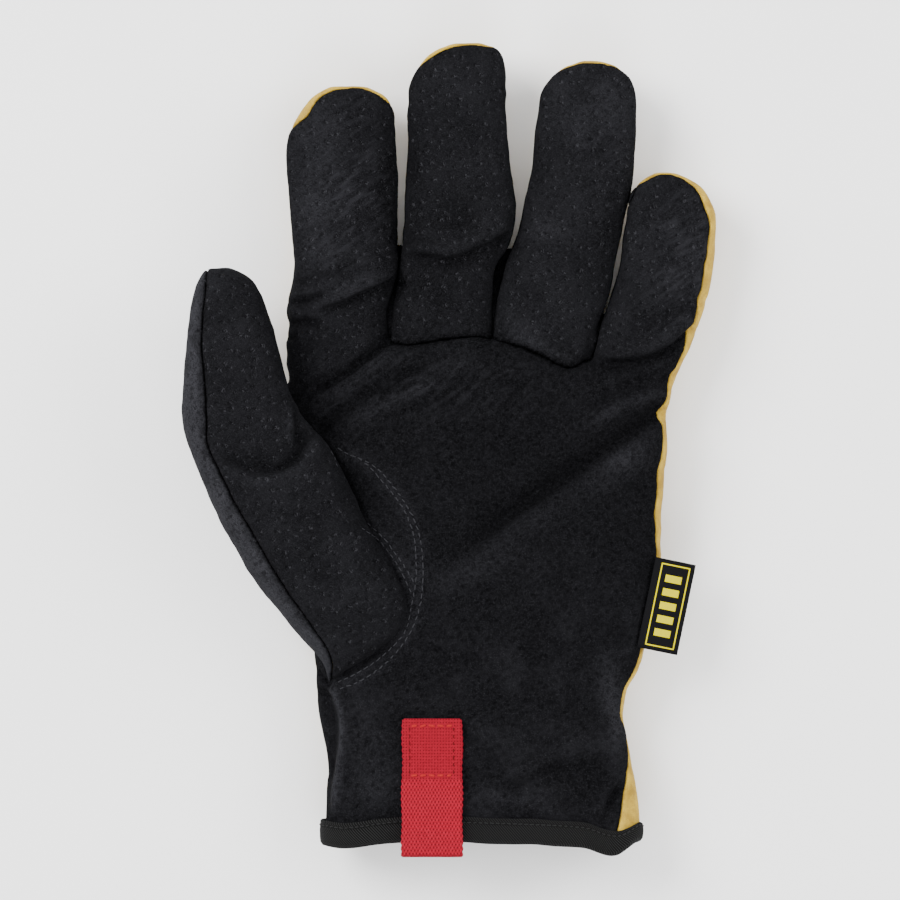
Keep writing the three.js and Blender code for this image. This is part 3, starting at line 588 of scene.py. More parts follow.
def normals_of(points, faces):
    """Unit normals of the points, from the faces around each."""
    a, b, c = (points[faces[:, k]] for k in range(3))
    face_normal = np.cross(b - a, c - a)
    out = np.stack([sum(np.bincount(faces[:, k], face_normal[:, axis], len(points)) for k in range(3))
                    for axis in range(3)], 1)
    return out / np.maximum(np.linalg.norm(out, axis=1), 1e-12)[:, None]


class Skin:
    """Triangles whose points carry named numbers, which every cut interpolates."""

    def __init__(self, points, faces):
        self.names = {"x": 0, "y": 1, "z": 2}
        self.data = np.array(points, float)
        self.faces = faces

    @property
    def points(self):
        return self.data[:, :3]

    @points.setter
    def points(self, values):
        self.data[:, :3] = values

    def __getitem__(self, name):
        return self.data[:, self.names[name]]

    def __setitem__(self, name, values):
        if name in self.names:
            self.data[:, self.names[name]] = values
        else:
            self.names[name] = self.data.shape[1]
            self.data = np.column_stack([self.data, np.broadcast_to(values, len(self.data))])

    def at_faces(self, name):
        """A named number at the middle of each face."""
        return self[name][self.faces].mean(1)

    def only(self, chosen):
        """The chosen faces as a skin of their own."""
        used, faces = np.unique(self.faces[chosen], return_inverse=True)
        part = Skin(self.points[used], faces.reshape(-1, 3))
        part.names, part.data = dict(self.names), self.data[used]
        return part

    def cut(self, name, level=0.0, snap=0.2):
        """Splits the faces along the line where a named number passes a level.

        A point that is nearer to the line than snap of its edge is moved onto it instead.
        """
        column = self.names[name]
        value = self.data[:, column] - level
        a, b = edges_of(self.faces).T
        across = value[a] * value[b] < 0
        a, b = a[across], b[across]
        share = value[a] / (value[a] - value[b])
        before = self.data.copy()
        for end, other, part in ((a, b, share), (b, a, 1 - share)):
            near = part < snap
            moved = before[end[near]] + part[near, None] * (before[other[near]] - before[end[near]])
            self.data[end[near]] = moved
            self.data[end[near], column] = level
            value[end[near]] = 0
        sign = np.sign(value)[self.faces]
        mixed = (sign.max(1) > 0) & (sign.min(1) < 0)
        kept, work, sign = self.faces[~mixed], self.faces[mixed], sign[mixed]
        through = (sign == 0).any(1)
        lone = -np.sign(sign.sum(1))
        first = np.where(through, np.argmax(sign == 0, axis=1), np.argmax(sign == lone[:, None], axis=1))
        work = np.take_along_axis(work, (first[:, None] + np.arange(3)) % 3, axis=1)
        one, two = work[through], work[~through]
        pairs = np.concatenate([one[:, [1, 2]], two[:, [0, 1]], two[:, [0, 2]]])
        unique, index = np.unique(np.sort(pairs, axis=1), axis=0, return_inverse=True)
        index = index.ravel() + len(self.data)
        p, q = unique.T
        part = value[p] / (value[p] - value[q])
        fresh = self.data[p] + part[:, None] * (self.data[q] - self.data[p])
        fresh[:, column] = level
        self.data = np.concatenate([self.data, fresh])
        m = index[:len(one)]
        m01, m02 = index[len(one):len(one) + len(two)], index[len(one) + len(two):]
        self.faces = np.concatenate([
            kept,
            np.stack([one[:, 0], one[:, 1], m], 1), np.stack([one[:, 0], m, one[:, 2]], 1),
            np.stack([two[:, 0], m01, m02], 1), np.stack([m01, two[:, 1], two[:, 2]], 1),
            np.stack([m01, two[:, 2], m02], 1),
        ])


def open_edges(faces):
    """The directed edges that only one face has."""
    directed = np.concatenate([faces[:, [0, 1]], faces[:, [1, 2]], faces[:, [2, 0]]])
    ordered = np.sort(directed, axis=1)
    key = ordered[:, 0].astype(np.int64) * (faces.max() + 1) + ordered[:, 1]
    unused, index, count = np.unique(key, return_inverse=True, return_counts=True)
    return directed[count[index.ravel()] == 1]


def search_tree(points, faces):
    return BVHTree.FromPolygons(points.tolist(), faces.tolist())


def distance_to(tree, points, reach):
    """Signed distance of each point to a closed skin: positive outside, and reach beyond it."""
    out = np.full(len(points), float(reach))
    for i, p in enumerate(points.tolist()):
        place, normal, unused, distance = tree.find_nearest(p, reach)
        if place is not None:
            out[i] = distance if (Vector(p) - place).dot(normal) >= 0 else -distance
    return out


def line_distance(points, line):
    """Signed distance in plan to a line, positive on its left, with the nearest step along it."""
    step = np.gradient(line, axis=0)
    step /= np.linalg.norm(step, axis=1)[:, None]
    gap = points[:, None, :2] - line[None]
    nearest = np.argmin((gap**2).sum(-1), axis=1)
    gap = gap[np.arange(len(points)), nearest]
    along_line = step[nearest]
    side = along_line[:, 0] * gap[:, 1] - along_line[:, 1] * gap[:, 0]
    beyond = np.abs((along_line * gap).sum(1))
    return np.sign(side) * np.hypot(side, np.maximum(beyond - LINE_STEP, 0)), nearest, along_line


def press_folds(skin, body):
    """Presses the folds of one body into the skin's palm side, paints highlights on their upward ridges and
    paints shade in their valleys.
    """
    for (depth, near, far, bulge, reach, lean, start, end), *points in FOLDS[body]:
        line = smooth_line(points)
        sunk, raised = max(depth, 0), max(-depth, 0)
        margin = FOLD_MARGIN * max(near, far, reach)
        low, high = line.min(0) - margin, line.max(0) + margin
        xy = skin.data[:, :2]
        chosen = np.flatnonzero(((xy > low) & (xy < high)).all(1) & (skin["front"] > 0.01))
        if not len(chosen):
            continue
        here = skin.points[chosen]
        distance, nearest, direction = line_distance(here, line)
        run = nearest * LINE_STEP
        length = (len(line) - 1) * LINE_STEP
        fade = smoothstep(run, -0.01, start) * smoothstep(length - run, -0.01, end)
        width = np.where(distance > 0, near, far)
        valley = np.exp(-(distance / width) ** 2)
        swell = np.where(distance > 0, np.exp(-((distance - reach) / (0.75 * reach)) ** 2), 0)
        weight = fade * skin["front"][chosen]
        up = skin.normals[chosen, 2]
        top = fade * smoothstep(up, 0.3, 0.8)
        beside = np.min([np.abs(here[:, 0] - plan_x(gap, here[:, 1])) for gap in GAPS], axis=0)
        walled = (1 - smoothstep(beside, 1.5, 4)) * smoothstep(here[:, 1], 30, 36) if body == "hand" else 0
        weight = weight * (1 - walled * (1 - smoothstep(up, 0.1, 0.5)))
        weight = weight * (0.35 + 0.65 * smoothstep(up, -0.05, 0.45))
        rise = top * (bulge * swell + raised * valley) - weight * sunk * valley
        left = np.stack([-direction[:, 1], direction[:, 0]], 1)
        moved = here + rise[:, None] * skin.normals[chosen]
        moved[:, :2] -= (top * lean * swell)[:, None] * left
        skin.data[chosen, :3] = moved
        # painted highlight where a fold's ridge faces up, and painted shade in its valley
        skin.data[chosen, skin.names["wear_and_painted_light"]] += top * (0.14 * bulge * swell + 0.3 * raised * valley)
        skin.data[chosen, skin.names["shade"]] += weight * sunk * valley * 0.1


def paint_light_and_shade(skin):
    """Paints the broad spots of light and shade on the palm side."""
    for x, y, reach_x, reach_y, turn, amount in PAINTED_LIGHT_AND_SHADE:
        place = mound(skin["x"], skin["y"], x, y, reach_x, reach_y, turn) * skin["front"]
        skin["wear_and_painted_light" if amount > 0 else "shade"] += abs(amount) * place


def press_rows(skin):
    """Quilts the leather along the rows of stitches, and paints a pale highlight along them."""
    margin = QUILT["margin"]
    for points in STITCH_ROWS.values():
        line = smooth_line(points)
        xy = skin.data[:, :2]
        around = ((xy > line.min(0) - margin) & (xy < line.max(0) + margin)).all(1)
        chosen = np.flatnonzero(around & (skin["front"] > 0.5))
        distance = line_distance(skin.points[chosen], line)[0]
        skin.data[chosen, 2] -= QUILT["depth"] * np.exp(-(distance / QUILT["width"]) ** 2)
        # painted highlight along the row
        skin.data[chosen, skin.names["wear_and_painted_light"]] += QUILT["wear_and_painted_light"] * np.exp(-(distance / QUILT["rub_width"]) ** 2)


def front_weight(points, faces):
    """1 on the palm side and 0 on the back."""
    normals = normals_of(points, faces)
    return smoothstep(normals[:, 2], -0.35, 0.15)


def hand_skin():
    """The skin of the hand and its four fingers, pressed into folds, with the numbers for its cuts."""
    parts = [body_skin(HAND, SIDES["hand"])]
    for name, rows in FINGERS.items():
        p, f = body_skin(rows, SIDES["finger"])
        p[:, 0] += SPREAD[name] * smoothstep(p[:, 1], SPREAD_FROM, SPREAD_TO)
        parts.append((p, f))
    points, faces = fused(parts)
    shift = smoothstep(points[:, 1], SPREAD_FROM, SPREAD_TO)
    order = list(SPREAD)
    moved = np.full(len(points), SPREAD["index"])
    for gap, (a, b) in zip(GAPS, zip(order, order[1:])):
        line = plan_x(gap, points[:, 1]) + (SPREAD[a] + SPREAD[b]) / 2 * shift
        moved = np.where(points[:, 0] > line, SPREAD[b], moved)
    points[:, 0] -= moved * shift
    for gap in GAPS:
        beside = points[:, 0] - plan_x(gap, points[:, 1])
        low = smoothstep(points[:, 1], 46, 56) * (1 - smoothstep(points[:, 2], 5, 10))
        points[:, 0] += PARTED[gap] * np.sign(beside) * np.exp(-(beside / 4) ** 2) * low
    points = smoothed(points, faces, 6)
    skin = Skin(points, faces)
    x, y, z = points.T
    mark_hand_seams(skin, x, y, z)
    skin["finger"] = smoothstep(y - along(BASE, "x", "y", x), -6, 4)
    skin["cloudy"] = smoothstep(-y, 25, 75)
    skin["streaky"] = np.maximum.reduce([amount * mound(x, y, *place) for place, amount in STREAKS])
    skin["front"] = front_weight(points, faces) * smoothstep(y, -113, -106)
    skin["wear_and_painted_light"] = 0.0
    skin["shade"] = 0.0
    skin.points = points - np.outer(HOLLOW_DEPTH * mound(x, y, *HOLLOW) * skin["front"], (0, 0, 1))
    skin.normals = normals_of(skin.points, faces)
    press_folds(skin, "hand")
    press_rows(skin)
    paint_light_and_shade(skin)
    roughen(skin, SEEDS["hand"])
    return skin


def mark_hand_seams(skin, x, y, z):
    """Numbers that pass zero along the hand's seams."""
    past_root = y > 24
    between = (x > plan_x("index", y)) & (x < plan_x("little", y)) & past_root
    right = smoothstep(x - plan_x("inside_right", y), -2, 2)
    side = SEAM["left"] + (np.interp(y, RIGHT_SEAM["y"], RIGHT_SEAM["z"]) - SEAM["left"]) * right
    start, tip = np.zeros(len(x)), np.zeros(len(x))
    for gap, at in zip((None,) + GAPS, TIPS.values()):
        here = np.full(len(x), True) if gap is None else x > plan_x(gap, y)
        start = np.where(here, np.interp(x, at["edge"], at["start"]), start)
        tip = np.where(here, np.interp(x, at["edge"], at["height"]), tip)
    run = smoothstep(y - start, -1, SEAM["tip_run"])
    early = smoothstep(y - start, -3, SEAM["tip_run"] / 2)
    front = np.where(between, SEAM["wall_front"], side)
    back = np.where(between, SEAM["wall_back"], side)
    front = front + (tip - front) * run
    back = np.minimum(back + (tip - back) * early, front)
    skin["front_seam"] = z - front
    skin["back_seam"] = z - back
    inset = np.minimum(x - plan_x("index_middle", y), plan_x("ring_little", y) - x)
    skin["inset"] = np.minimum(y - along(SET_IN, "x", "y", x), inset)
    skin["middle_ring"] = x - plan_x("middle_ring", y)
    skin["hem"] = y - hem_line(x, z)


def roughen(skin, seed):
    """Soft unevenness of handled leather, the same all round, but none where the glove rests."""
    base = skin.points.copy()
    normals = normals_of(base, skin.faces)
    free = smoothstep(base[:, 2], 0.6, 5) * smoothstep(base[:, 1], -114, -106)
    height = 0.45 * noise(base, (15, 12, 15), seed) + 0.22 * noise(base, (5.5, 4.5, 5.5), seed + 1)
    height += 0.07 * noise(base, 2.2, seed + 2)
    slanted = base @ np.array([(0.8, 0.6, 0), (-0.6, 0.8, 0), (0, 0, 1)]).T
    height += 0.24 * noise(slanted, (8, 2.6, 8), seed + 4) * smoothstep(noise(base, 22, seed + 5), -0.1, 0.6)
    skin.points = base + (height * free)[:, None] * normals
    skin.data[:, 2] = np.maximum(skin.data[:, 2], 0)
    patchy = noise(base, 7, seed + 3)
    skin["wear_and_painted_light"] = skin["wear_and_painted_light"] * (1 + 0.4 * patchy) + (0.05 + 0.07 * skin["finger"]) * np.maximum(patchy, 0)


def thumb_skin():
    """The thumb's skin, with a strip beside its seam painted pale as light where it faces left, and the
    numbers for its cuts.
    """
    points, faces = fused([body_skin(THUMB, SIDES["thumb"])])
    points = smoothed(points, faces, 6)
    skin = Skin(points, faces)
    x, y, z = points.T
    skin["seam"] = np.minimum(x - along(THUMB, "y", "seam", y), z - (along(THUMB, "y", "mid", y) - 3))
    skin["finger"] = 1.0
    skin["cloudy"] = 0.0
    skin["streaky"] = 0.1
    skin["front"] = front_weight(points, faces)
    skin.normals = normals_of(points, faces)
    beside = skin["seam"]
    seed = SEEDS["strip"]
    mottled = 0.75 + 0.45 * noise(points, 3.5, seed) + 0.25 * noise(points, 1.4, seed + 1)
    strip = (0.45 + 0.55 * smoothstep(-beside, 0.0, 3.5)) * smoothstep(-beside, -0.5, 0.5)
    strip = strip * smoothstep(z, 8, 22)
    strip = strip * smoothstep(skin.normals[:, 2], -0.3, 0.3)
    # painted light: the strip is paler, mottled, where it faces left and up
    skin["wear_and_painted_light"] = 1.75 * strip * mottled * smoothstep(-skin.normals[:, 0], 0.1, 0.75)
    skin["shade"] = 0.0
    press_folds(skin, "thumb")
    roughen(skin, SEEDS["thumb"])
    return skin


def rolled(skin, held, radius=0.9, drop=0.55, apart=0.03):
    """Rolls a panel's edge down into its seam, draws it back from its neighbour, and paints a line of shade
    along the edge.

    held marks points whose edge stays as it is.
    """
    edge = open_edges(skin.faces)
    seam = edge[~(held[edge[:, 0]] & held[edge[:, 1]])]
    if not len(seam):
        return
    places = np.concatenate([skin.points[seam[:, 0]], skin.points[seam].mean(1)])
    normals = normals_of(skin.points, skin.faces)
    run = skin.points[seam[:, 1]] - skin.points[seam[:, 0]]
    inward = np.cross(normals[seam[:, 0]], run)
    inward /= np.maximum(np.linalg.norm(inward, axis=1), 1e-9)[:, None]
    inward = np.concatenate([inward, inward])
    tree = KDTree(len(places))
    for i, p in enumerate(places.tolist()):
        tree.insert(p, i)
    tree.balance()
    found = [tree.find(p)[1:] for p in skin.points.tolist()]
    nearest, distance = np.array([f[0] for f in found]), np.array([f[1] for f in found])
    t = np.clip(distance / radius, 0, 1)
    fall = drop * (1 - np.sqrt(1 - (1 - t) ** 2))
    puff = EDGE["puff"] * np.exp(-((distance - 2.0 * radius) / radius) ** 2)
    aside = (apart * (1 - t) ** 2)[:, None] * inward[nearest]
    skin.points = skin.points - (fall - puff)[:, None] * normals + aside
    # painted shade along the seam edge
    skin["shade"] = skin["shade"] + EDGE["shade"] * np.exp(-(distance / EDGE["line"]) ** 2)


def thickened(skin, wall=WALL):
    """Points and faces of a panel with an inner side and a rim."""
    count = len(skin.points)
    normals = normals_of(skin.points, skin.faces)
    edge = open_edges(skin.faces)
    held = np.zeros(count, bool)
    held[edge.ravel()] = True
    inner = smoothed(skin.points - wall * normals, skin.faces, 2, 0.5, held)
    a, b = edge.T
    rim = np.concatenate([np.stack([b, a, a + count], 1), np.stack([b, a + count, b + count], 1)])
    faces = np.concatenate([skin.faces, skin.faces[:, ::-1] + count, rim])
    return np.concatenate([skin.points, inner]), faces


def make_object(name, points, faces, material, slot, replaces=(), values=None):
    """A piece of the glove in metres, riding on its one body."""
    mesh = to_mesh(name, points * MM, faces)
    mesh.materials.append(material)
    mesh.shade_smooth()
    for key, numbers in (values or {}).items():
        mesh.attributes.new(key, "FLOAT", "POINT").data.foreach_set("value", np.asarray(numbers, np.float32))
    thing = bpy.data.objects.new(name, mesh)
    bpy.context.scene.collection.objects.link(thing)
    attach(thing, "root")
    if replaces:
        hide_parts(*replaces)
    return thing


def panel_object(name, skin, material, slot, held, **roll):
    """A leather panel with its looks as numbers on its points. Only its two faces are shaded smooth."""
    rolled(skin, held, **roll)
    points, faces = thickened(skin)
    skin["inside"] = 0.0
    skin["steep"] = 1 - smoothstep(np.abs(normals_of(skin.points, skin.faces)[:, 2]), 0.3, 0.65)
    values = {key: np.tile(np.clip(skin[key], 0, 1), 2) for key in LOOKS}
    values["inside"][len(skin.points):] = 1
    thing = make_object(name, points, faces, material, slot, (name,), values)
    thing.data.polygons.foreach_set("use_smooth", np.arange(len(faces)) < 2 * len(skin.faces))


class Nodes:
    """A material with short ways to add nodes and join them."""

    def __init__(self, name):
        self.material = bpy.data.materials.new(name)
        self.material.use_nodes = True
        self.tree = self.material.node_tree
        self.tree.nodes.clear()
        self.shader = self.add("BsdfPrincipled")
        output = self.add("OutputMaterial")
        self.tree.links.new(self.shader.outputs[0], output.inputs[0])
        self.place = self.add("TexCoord").outputs["Object"]

    def add(self, kind, inputs=None, **settings):
        node = self.tree.nodes.new("ShaderNode" + kind)
        for name, value in settings.items():
            setattr(node, name, value)
        for name, value in (inputs or {}).items():
            self.put(node.inputs[name], value)
        return node

    def put(self, socket, value):
        if isinstance(value, bpy.types.NodeSocket):
            self.tree.links.new(value, socket)
        else:
            socket.default_value = value

    def math(self, operation, a, b=0.0):
        return self.add("Math", {0: a, 1: b}, operation=operation).outputs[0]

    def times(self, a, b):
        return self.math("MULTIPLY", a, b)

    def plus(self, a, b):
        return self.math("ADD", a, b)

    def less(self, a, b):
        return self.math("SUBTRACT", a, b)

    def ramp(self, value, low, high, start=0.0, end=1.0):
        inputs = {"Value": value, "From Min": low, "From Max": high, "To Min": start, "To Max": end}
        return self.add("MapRange", inputs, interpolation_type="SMOOTHSTEP").outputs[0]

    def mix(self, share, a, b):
        """One colour turning into another. Each is a socket, or its red, green and blue."""
        a, b = (c if isinstance(c, bpy.types.NodeSocket) else (*c, 1) for c in (a, b))
        return self.add("Mix", {0: share, 6: a, 7: b}, data_type="RGBA").outputs[2]

    def value_mix(self, share, a, b):
        return self.add("Mix", {0: share, 2: a, 3: b}, data_type="FLOAT").outputs[0]

    def noise(self, size, detail=2.0, place=None, roughness=0.5):
        """Noise whose lumps are size millimetres across, 0 to 1."""
        inputs = {"Vector": place or self.place, "Scale": 1 / (size * MM), "Detail": detail}
        return self.add("TexNoise", {**inputs, "Roughness": roughness}).outputs["Fac"]

    def wandering(self, size, by):
        """Places that stray by up to half of by millimetres, so that what is drawn on them isn't regular."""
        inputs = {"Vector": self.place, "Scale": 1 / (size * MM), "Detail": 1.0}
        stray = self.add("TexNoise", inputs).outputs["Color"]
        inputs = {0: stray, 1: (by * MM,) * 3, 2: self.place}
        return self.add("VectorMath", inputs, operation="MULTIPLY_ADD").outputs[0]

    def mapped(self, turn=0.0, stretch=(1, 1, 1), shift=(0, 0, 0), place=None):
        """Places for a pattern that is shifted by some millimetres, stretched, and turned in plan."""
        inputs = {"Vector": place or self.place, "Location": [MM * d for d in shift]}
        inputs.update({"Rotation": (0, 0, turn), "Scale": stretch})
        return self.add("Mapping", inputs, vector_type="TEXTURE").outputs[0]

    def cells(self, size, place=None, loose=1.0, feature="F1", flat=False):
        """Distance to the nearest of points that lie size millimetres apart, as a share of size."""
        inputs = {"Vector": place or self.place, "Scale": 1 / (size * MM), "Randomness": loose}
        node = self.add("TexVoronoi", inputs, feature=feature, voronoi_dimensions="2D" if flat else "3D")
        return node.outputs["Distance"]

    def attribute(self, name):
        return self.add("Attribute", attribute_name=name).outputs["Fac"]

    def bump(self, height, distance, before=None):
        """Bump from a height of 0 to 1 that stands for a number of millimetres."""
        inputs = {"Height": height, "Distance": distance * MM, "Strength": 1.0}
        if before is not None:
            inputs["Normal"] = before
        return self.add("Bump", inputs).outputs[0]

    def finish(self, colour, roughness, normal=None, **constants):
        self.put(self.shader.inputs["Base Color"], colour)
        self.put(self.shader.inputs["Roughness"], roughness)
        if normal is not None:
            self.put(self.shader.inputs["Normal"], normal)
        for name, value in constants.items():
            self.shader.inputs[name.replace("_", " ")].default_value = value
        return self.material


def suede():
    """Black pigskin split: matt nap, palm dimples with painted shade, finger dimples with painted highlight
    and shadow.
    """
    m = Nodes("black_suede")
    wear_and_painted_light, shade, finger, cloudy, streaky, steep = (m.attribute(name) for name in LOOKS[:6])
    speck = m.noise(0.42, 2.0, roughness=0.7)
    grain = m.noise(1.0, 3.0, roughness=0.7)
    uneven = m.wandering(1.4, 1.1)
    gentle = m.wandering(5.0, 2.1)
    patchy = m.noise(5.0, 2.0)
    clouds = m.noise(12.0, 4.0, roughness=0.58)
    streaks = m.noise(2.0, 3.0, m.mapped(0.6, (3.2, 0.8, 1.0)))

    # soft dimples of the palm, darkened with painted shade
    dimples = m.cells(3.2, m.mapped(0.6, (1.0, 0.9, 1.0), place=gentle), 0.5, flat=True)
    dimples = m.ramp(dimples, 0.02, 0.42, 1.0, 0.0)
    dimples = m.times(dimples, m.ramp(patchy, 0.36, 0.6, 0.55, 1.0))
    palm = m.less(1.0, m.math("MAXIMUM", m.times(finger, 0.7), steep))
    pits = m.times(dimples, palm)

    # small dimples in clusters, given a painted highlight on their right and painted shadow on their left,
    # drawn in space where it is steep
    def dimple_spots(shift, reach):
        level = m.cells(3.3, m.mapped(0.12, (1.15, 0.95, 1.0), shift, uneven), 0.7, flat=True)
        wall = m.cells(3.6, m.mapped(0.0, (1.0, 1.0, 1.0), shift, uneven), 0.8)
        return m.ramp(m.value_mix(steep, level, wall), 0.3 * reach, reach, 1.0, 0.0)

    on_finger = m.plus(m.times(finger, 0.85), 0.12)
    on_finger = m.times(on_finger, m.ramp(patchy, 0.32, 0.52, 0.5, 1.0))
    dots = m.ramp(m.noise(0.5, 1.0, m.mapped(0.0, (0.8, 1.25, 1.0))), 0.5, 0.62)
    fleck_highlight = m.times(m.times(dimple_spots((0.35, 0, 0), 0.27), dots), on_finger)
    dark = m.times(dimple_spots((-0.35, 0, 0), 0.26), on_finger)

    cover = m.plus(m.times(cloudy, 0.09), 0.04)
    worn = m.times(wear_and_painted_light, m.ramp(m.value_mix(0.5, grain, speck), 0.4, 0.6, 0.22, 0.95))
    light = m.plus(worn, m.times(m.ramp(clouds, 0.38, 0.7), cover))
    cover = m.plus(m.times(streaky, 0.3), 0.03)
    light = m.plus(light, m.times(m.ramp(streaks, 0.42, 0.72), cover))
    light = m.plus(light, m.times(finger, m.ramp(clouds, 0.3, 0.7, 0.052, 0.088)))
    # painted shade makes it less pale
    light = m.less(light, m.times(shade, 0.3))
    light = m.math("MINIMUM", m.math("MAXIMUM", light, 0.0), 1.0)
    # pale where there is wear and where light is painted
    colour = m.mix(light, SUEDE["nap"], SUEDE["worn"])
    colour = m.mix(m.ramp(grain, 0.36, 0.68, 0.0, 0.4), colour, SUEDE["grain"])
    colour = m.mix(m.ramp(speck, 0.46, 0.72, 0.0, 0.35), colour, SUEDE["speck"])
    # painted shade in fold valleys, along seam edges and in dark spots
    colour = m.mix(m.times(shade, 0.85), colour, SUEDE["hollow"])
    # painted shade in the palm's dimples
    colour = m.mix(m.times(pits, 0.42), colour, SUEDE["hollow"])
    # painted shadow and painted highlight of the small dimples
    colour = m.mix(m.times(dark, 0.5), colour, SUEDE["shadow"])
    colour = m.mix(m.times(fleck_highlight, 0.38), colour, SUEDE["fleck"])
    lint = m.times(m.ramp(m.noise(0.3, 1.0), 0.6, 0.72), m.ramp(patchy, 0.3, 0.6, 0.14, 0.34))
    lint = m.times(lint, m.plus(0.9, m.times(cloudy, 0.4)))
    colour = m.mix(lint, colour, SUEDE["lint"])
    relief = m.less(m.times(fleck_highlight, 0.25), m.times(dark, 0.3))
    normal = m.bump(m.less(relief, pits), 0.26)
    normal = m.bump(grain, 0.28, normal)
    normal = m.bump(speck, 0.18, normal)
    return m.finish(colour, 0.95, normal, Specular_IOR_Level=0.02)


def tan_leather():
    """Tan grain leather with fine creases and a matt face, and painted shade inside that deepens towards the
    fingers.
    """
    m = Nodes("tan_leather")
    wear_and_painted_light = m.attribute("wear_and_painted_light")
    clouds = m.noise(4.5, 5.0, roughness=0.66)
    colour = m.mix(m.ramp(clouds, 0.3, 0.7), TAN["dark"], TAN["pale"])
    colour = m.mix(m.times(wear_and_painted_light, 0.35), colour, TAN["worn"])
    grain = m.ramp(m.cells(0.55, None, 1.0, "DISTANCE_TO_EDGE"), 0.0, 0.12)
    colour = m.mix(m.times(m.less(1.0, grain), 0.3), colour, TAN["crease"])
    fibres = m.ramp(m.noise(0.6, 3.0, roughness=0.7), 0.3, 0.7)
    flesh = m.mix(fibres, TAN["flesh_dark"], TAN["flesh_pale"])
    # painted shade inside the glove, darker towards the fingers
    deep = m.ramp(m.add("SeparateXYZ", {"Vector": m.place}).outputs["Y"], -60 * MM, 0.0)
    flesh = m.mix(deep, flesh, grey(0.002))
    colour = m.mix(m.attribute("inside"), colour, flesh)
    normal = m.bump(grain, 0.06)
    normal = m.bump(m.noise(1.8, 3.0), 0.12, normal)
    return m.finish(colour, m.ramp(clouds, 0.3, 0.7, 0.62, 0.78), normal, Specular_IOR_Level=0.15)


def twill():
    """Black binding tape with fine slanting ribs."""
    m = Nodes("black_twill")
    tape = m.add("CombineXYZ", {"X": m.attribute("run"), "Y": m.attribute("rise")}).outputs[0]
    slanted = m.add("Mapping", {"Vector": tape, "Rotation": (0, 0, 0.72)}, vector_type="TEXTURE").outputs[0]
    # one rib of a wave texture is 2 pi / 20 of a unit wide
    inputs = {"Vector": slanted, "Scale": 2 * math.pi / 20 / TAPE["rib"]}
    inputs.update({"Distortion": 0.5, "Detail": 1.0, "Detail Scale": 2.0})
    ribs = m.add("TexWave", inputs, wave_type="BANDS", bands_direction="X").outputs["Fac"]
    fuzz = m.noise(0.35, 2.0)
    colour = m.mix(m.ramp(ribs, 0.5, 0.76), grey(0.0002), grey(0.0150))
    colour = m.mix(m.ramp(fuzz, 0.5, 0.8, 0.0, 0.2), colour, grey(0.018))
    # painted shade in the groove along the stitches
    beside = m.math("ABSOLUTE", m.less(m.attribute("rise"), TAPE["stitched"]))
    groove = m.ramp(beside, 0.2, 0.6, 1.0, 0.0)
    colour = m.mix(m.times(groove, 0.7), colour, grey(0.0006))
    normal = m.bump(m.less(ribs, groove), 0.3)
    normal = m.bump(fuzz, 0.06, normal)
    return m.finish(colour, 0.85, normal, Specular_IOR_Level=0.08)


def webbing_cloth():
    """Red webbing: yarns that cross in small offset cells with dark gaps between them."""
    m = Nodes("red_webbing")
    parts = m.add("SeparateXYZ", {"Vector": m.place})
    x = m.times(parts.outputs["X"], 2 * math.pi / (YARNS["across"] * MM))
    y = m.times(parts.outputs["Y"], 2 * math.pi / (YARNS["down"] * MM))
    sewn = m.ramp(parts.outputs["Y"], (WEBBING["sewn"] - 0.5) * MM, (WEBBING["sewn"] + 0.5) * MM)
    columns = m.math("COSINE", m.times(parts.outputs["X"], 2 * math.pi / (YARNS["sewn_across"] * MM)))
    rows = m.math("COSINE", m.times(parts.outputs["Y"], 2 * math.pi / (YARNS["sewn_down"] * MM)))
    square = m.times(m.math("MAXIMUM", columns, 0.0), m.math("MAXIMUM", rows, 0.0))
    square = m.math("POWER", square, 0.5)
    cells = m.value_mix(sewn, m.times(m.math("COSINE", x), m.math("COSINE", y)), square)
    gaps = m.ramp(cells, 0.35, 0.85)
    # painted highlights on the yarns' crowns, away from the stitches
    crown_highlights = m.times(m.ramp(cells, -0.55, -0.95), m.less(1.0, sewn))
    fuzz = m.noise(0.5, 2.0)
    colour = m.mix(m.ramp(fuzz, 0.35, 0.7), RED["dark"], RED["pale"])
    colour = m.mix(m.times(sewn, 0.25), colour, RED["sewn"])
    colour = m.mix(m.times(crown_highlights, 0.28), colour, RED["crown"])
    colour = m.mix(m.times(gaps, 0.9), colour, RED["gap"])
    normal = m.bump(m.less(1.0, gaps), 0.2)
    normal = m.bump(fuzz, 0.05, normal)
    return m.finish(colour, 0.7, normal, Specular_IOR_Level=0.1)


def thread(name, colour):
    """Sewing thread, darker with painted shade where it twists away."""
    m = Nodes(name)
    inputs = {"Vector": m.mapped(0.8), "Scale": 1 / (0.5 * MM)}
    twist = m.add("TexWave", inputs, wave_type="BANDS").outputs["Fac"]
    dark = tuple(0.55 * c for c in colour)
    return m.finish(m.mix(twist, dark, colour), 0.7, m.bump(twist, 0.05), Specular_IOR_Level=0.1)


def label_cloth(name, colour):
    """Fine woven rows across the label."""
    m = Nodes(name)
    inputs = {"Vector": m.mapped(LABEL["turn"]), "Scale": 1 / (0.9 * MM)}
    rows = m.add("TexWave", inputs, wave_type="BANDS", bands_direction="Y").outputs["Fac"]
    dark = tuple(0.75 * c for c in colour)
    return m.finish(m.mix(rows, dark, colour), 0.6, m.bump(rows, 0.04), Specular_IOR_Level=0.02)


def floor_paint():
    """Nearly white paint."""
    m = Nodes("pale_floor")
    shade = m.noise(120.0, 2.0)
    colour = m.mix(m.ramp(shade, 0.3, 0.7), grey(0.92), grey(0.94))
    return m.finish(colour, 0.8, None, Specular_IOR_Level=0.2)


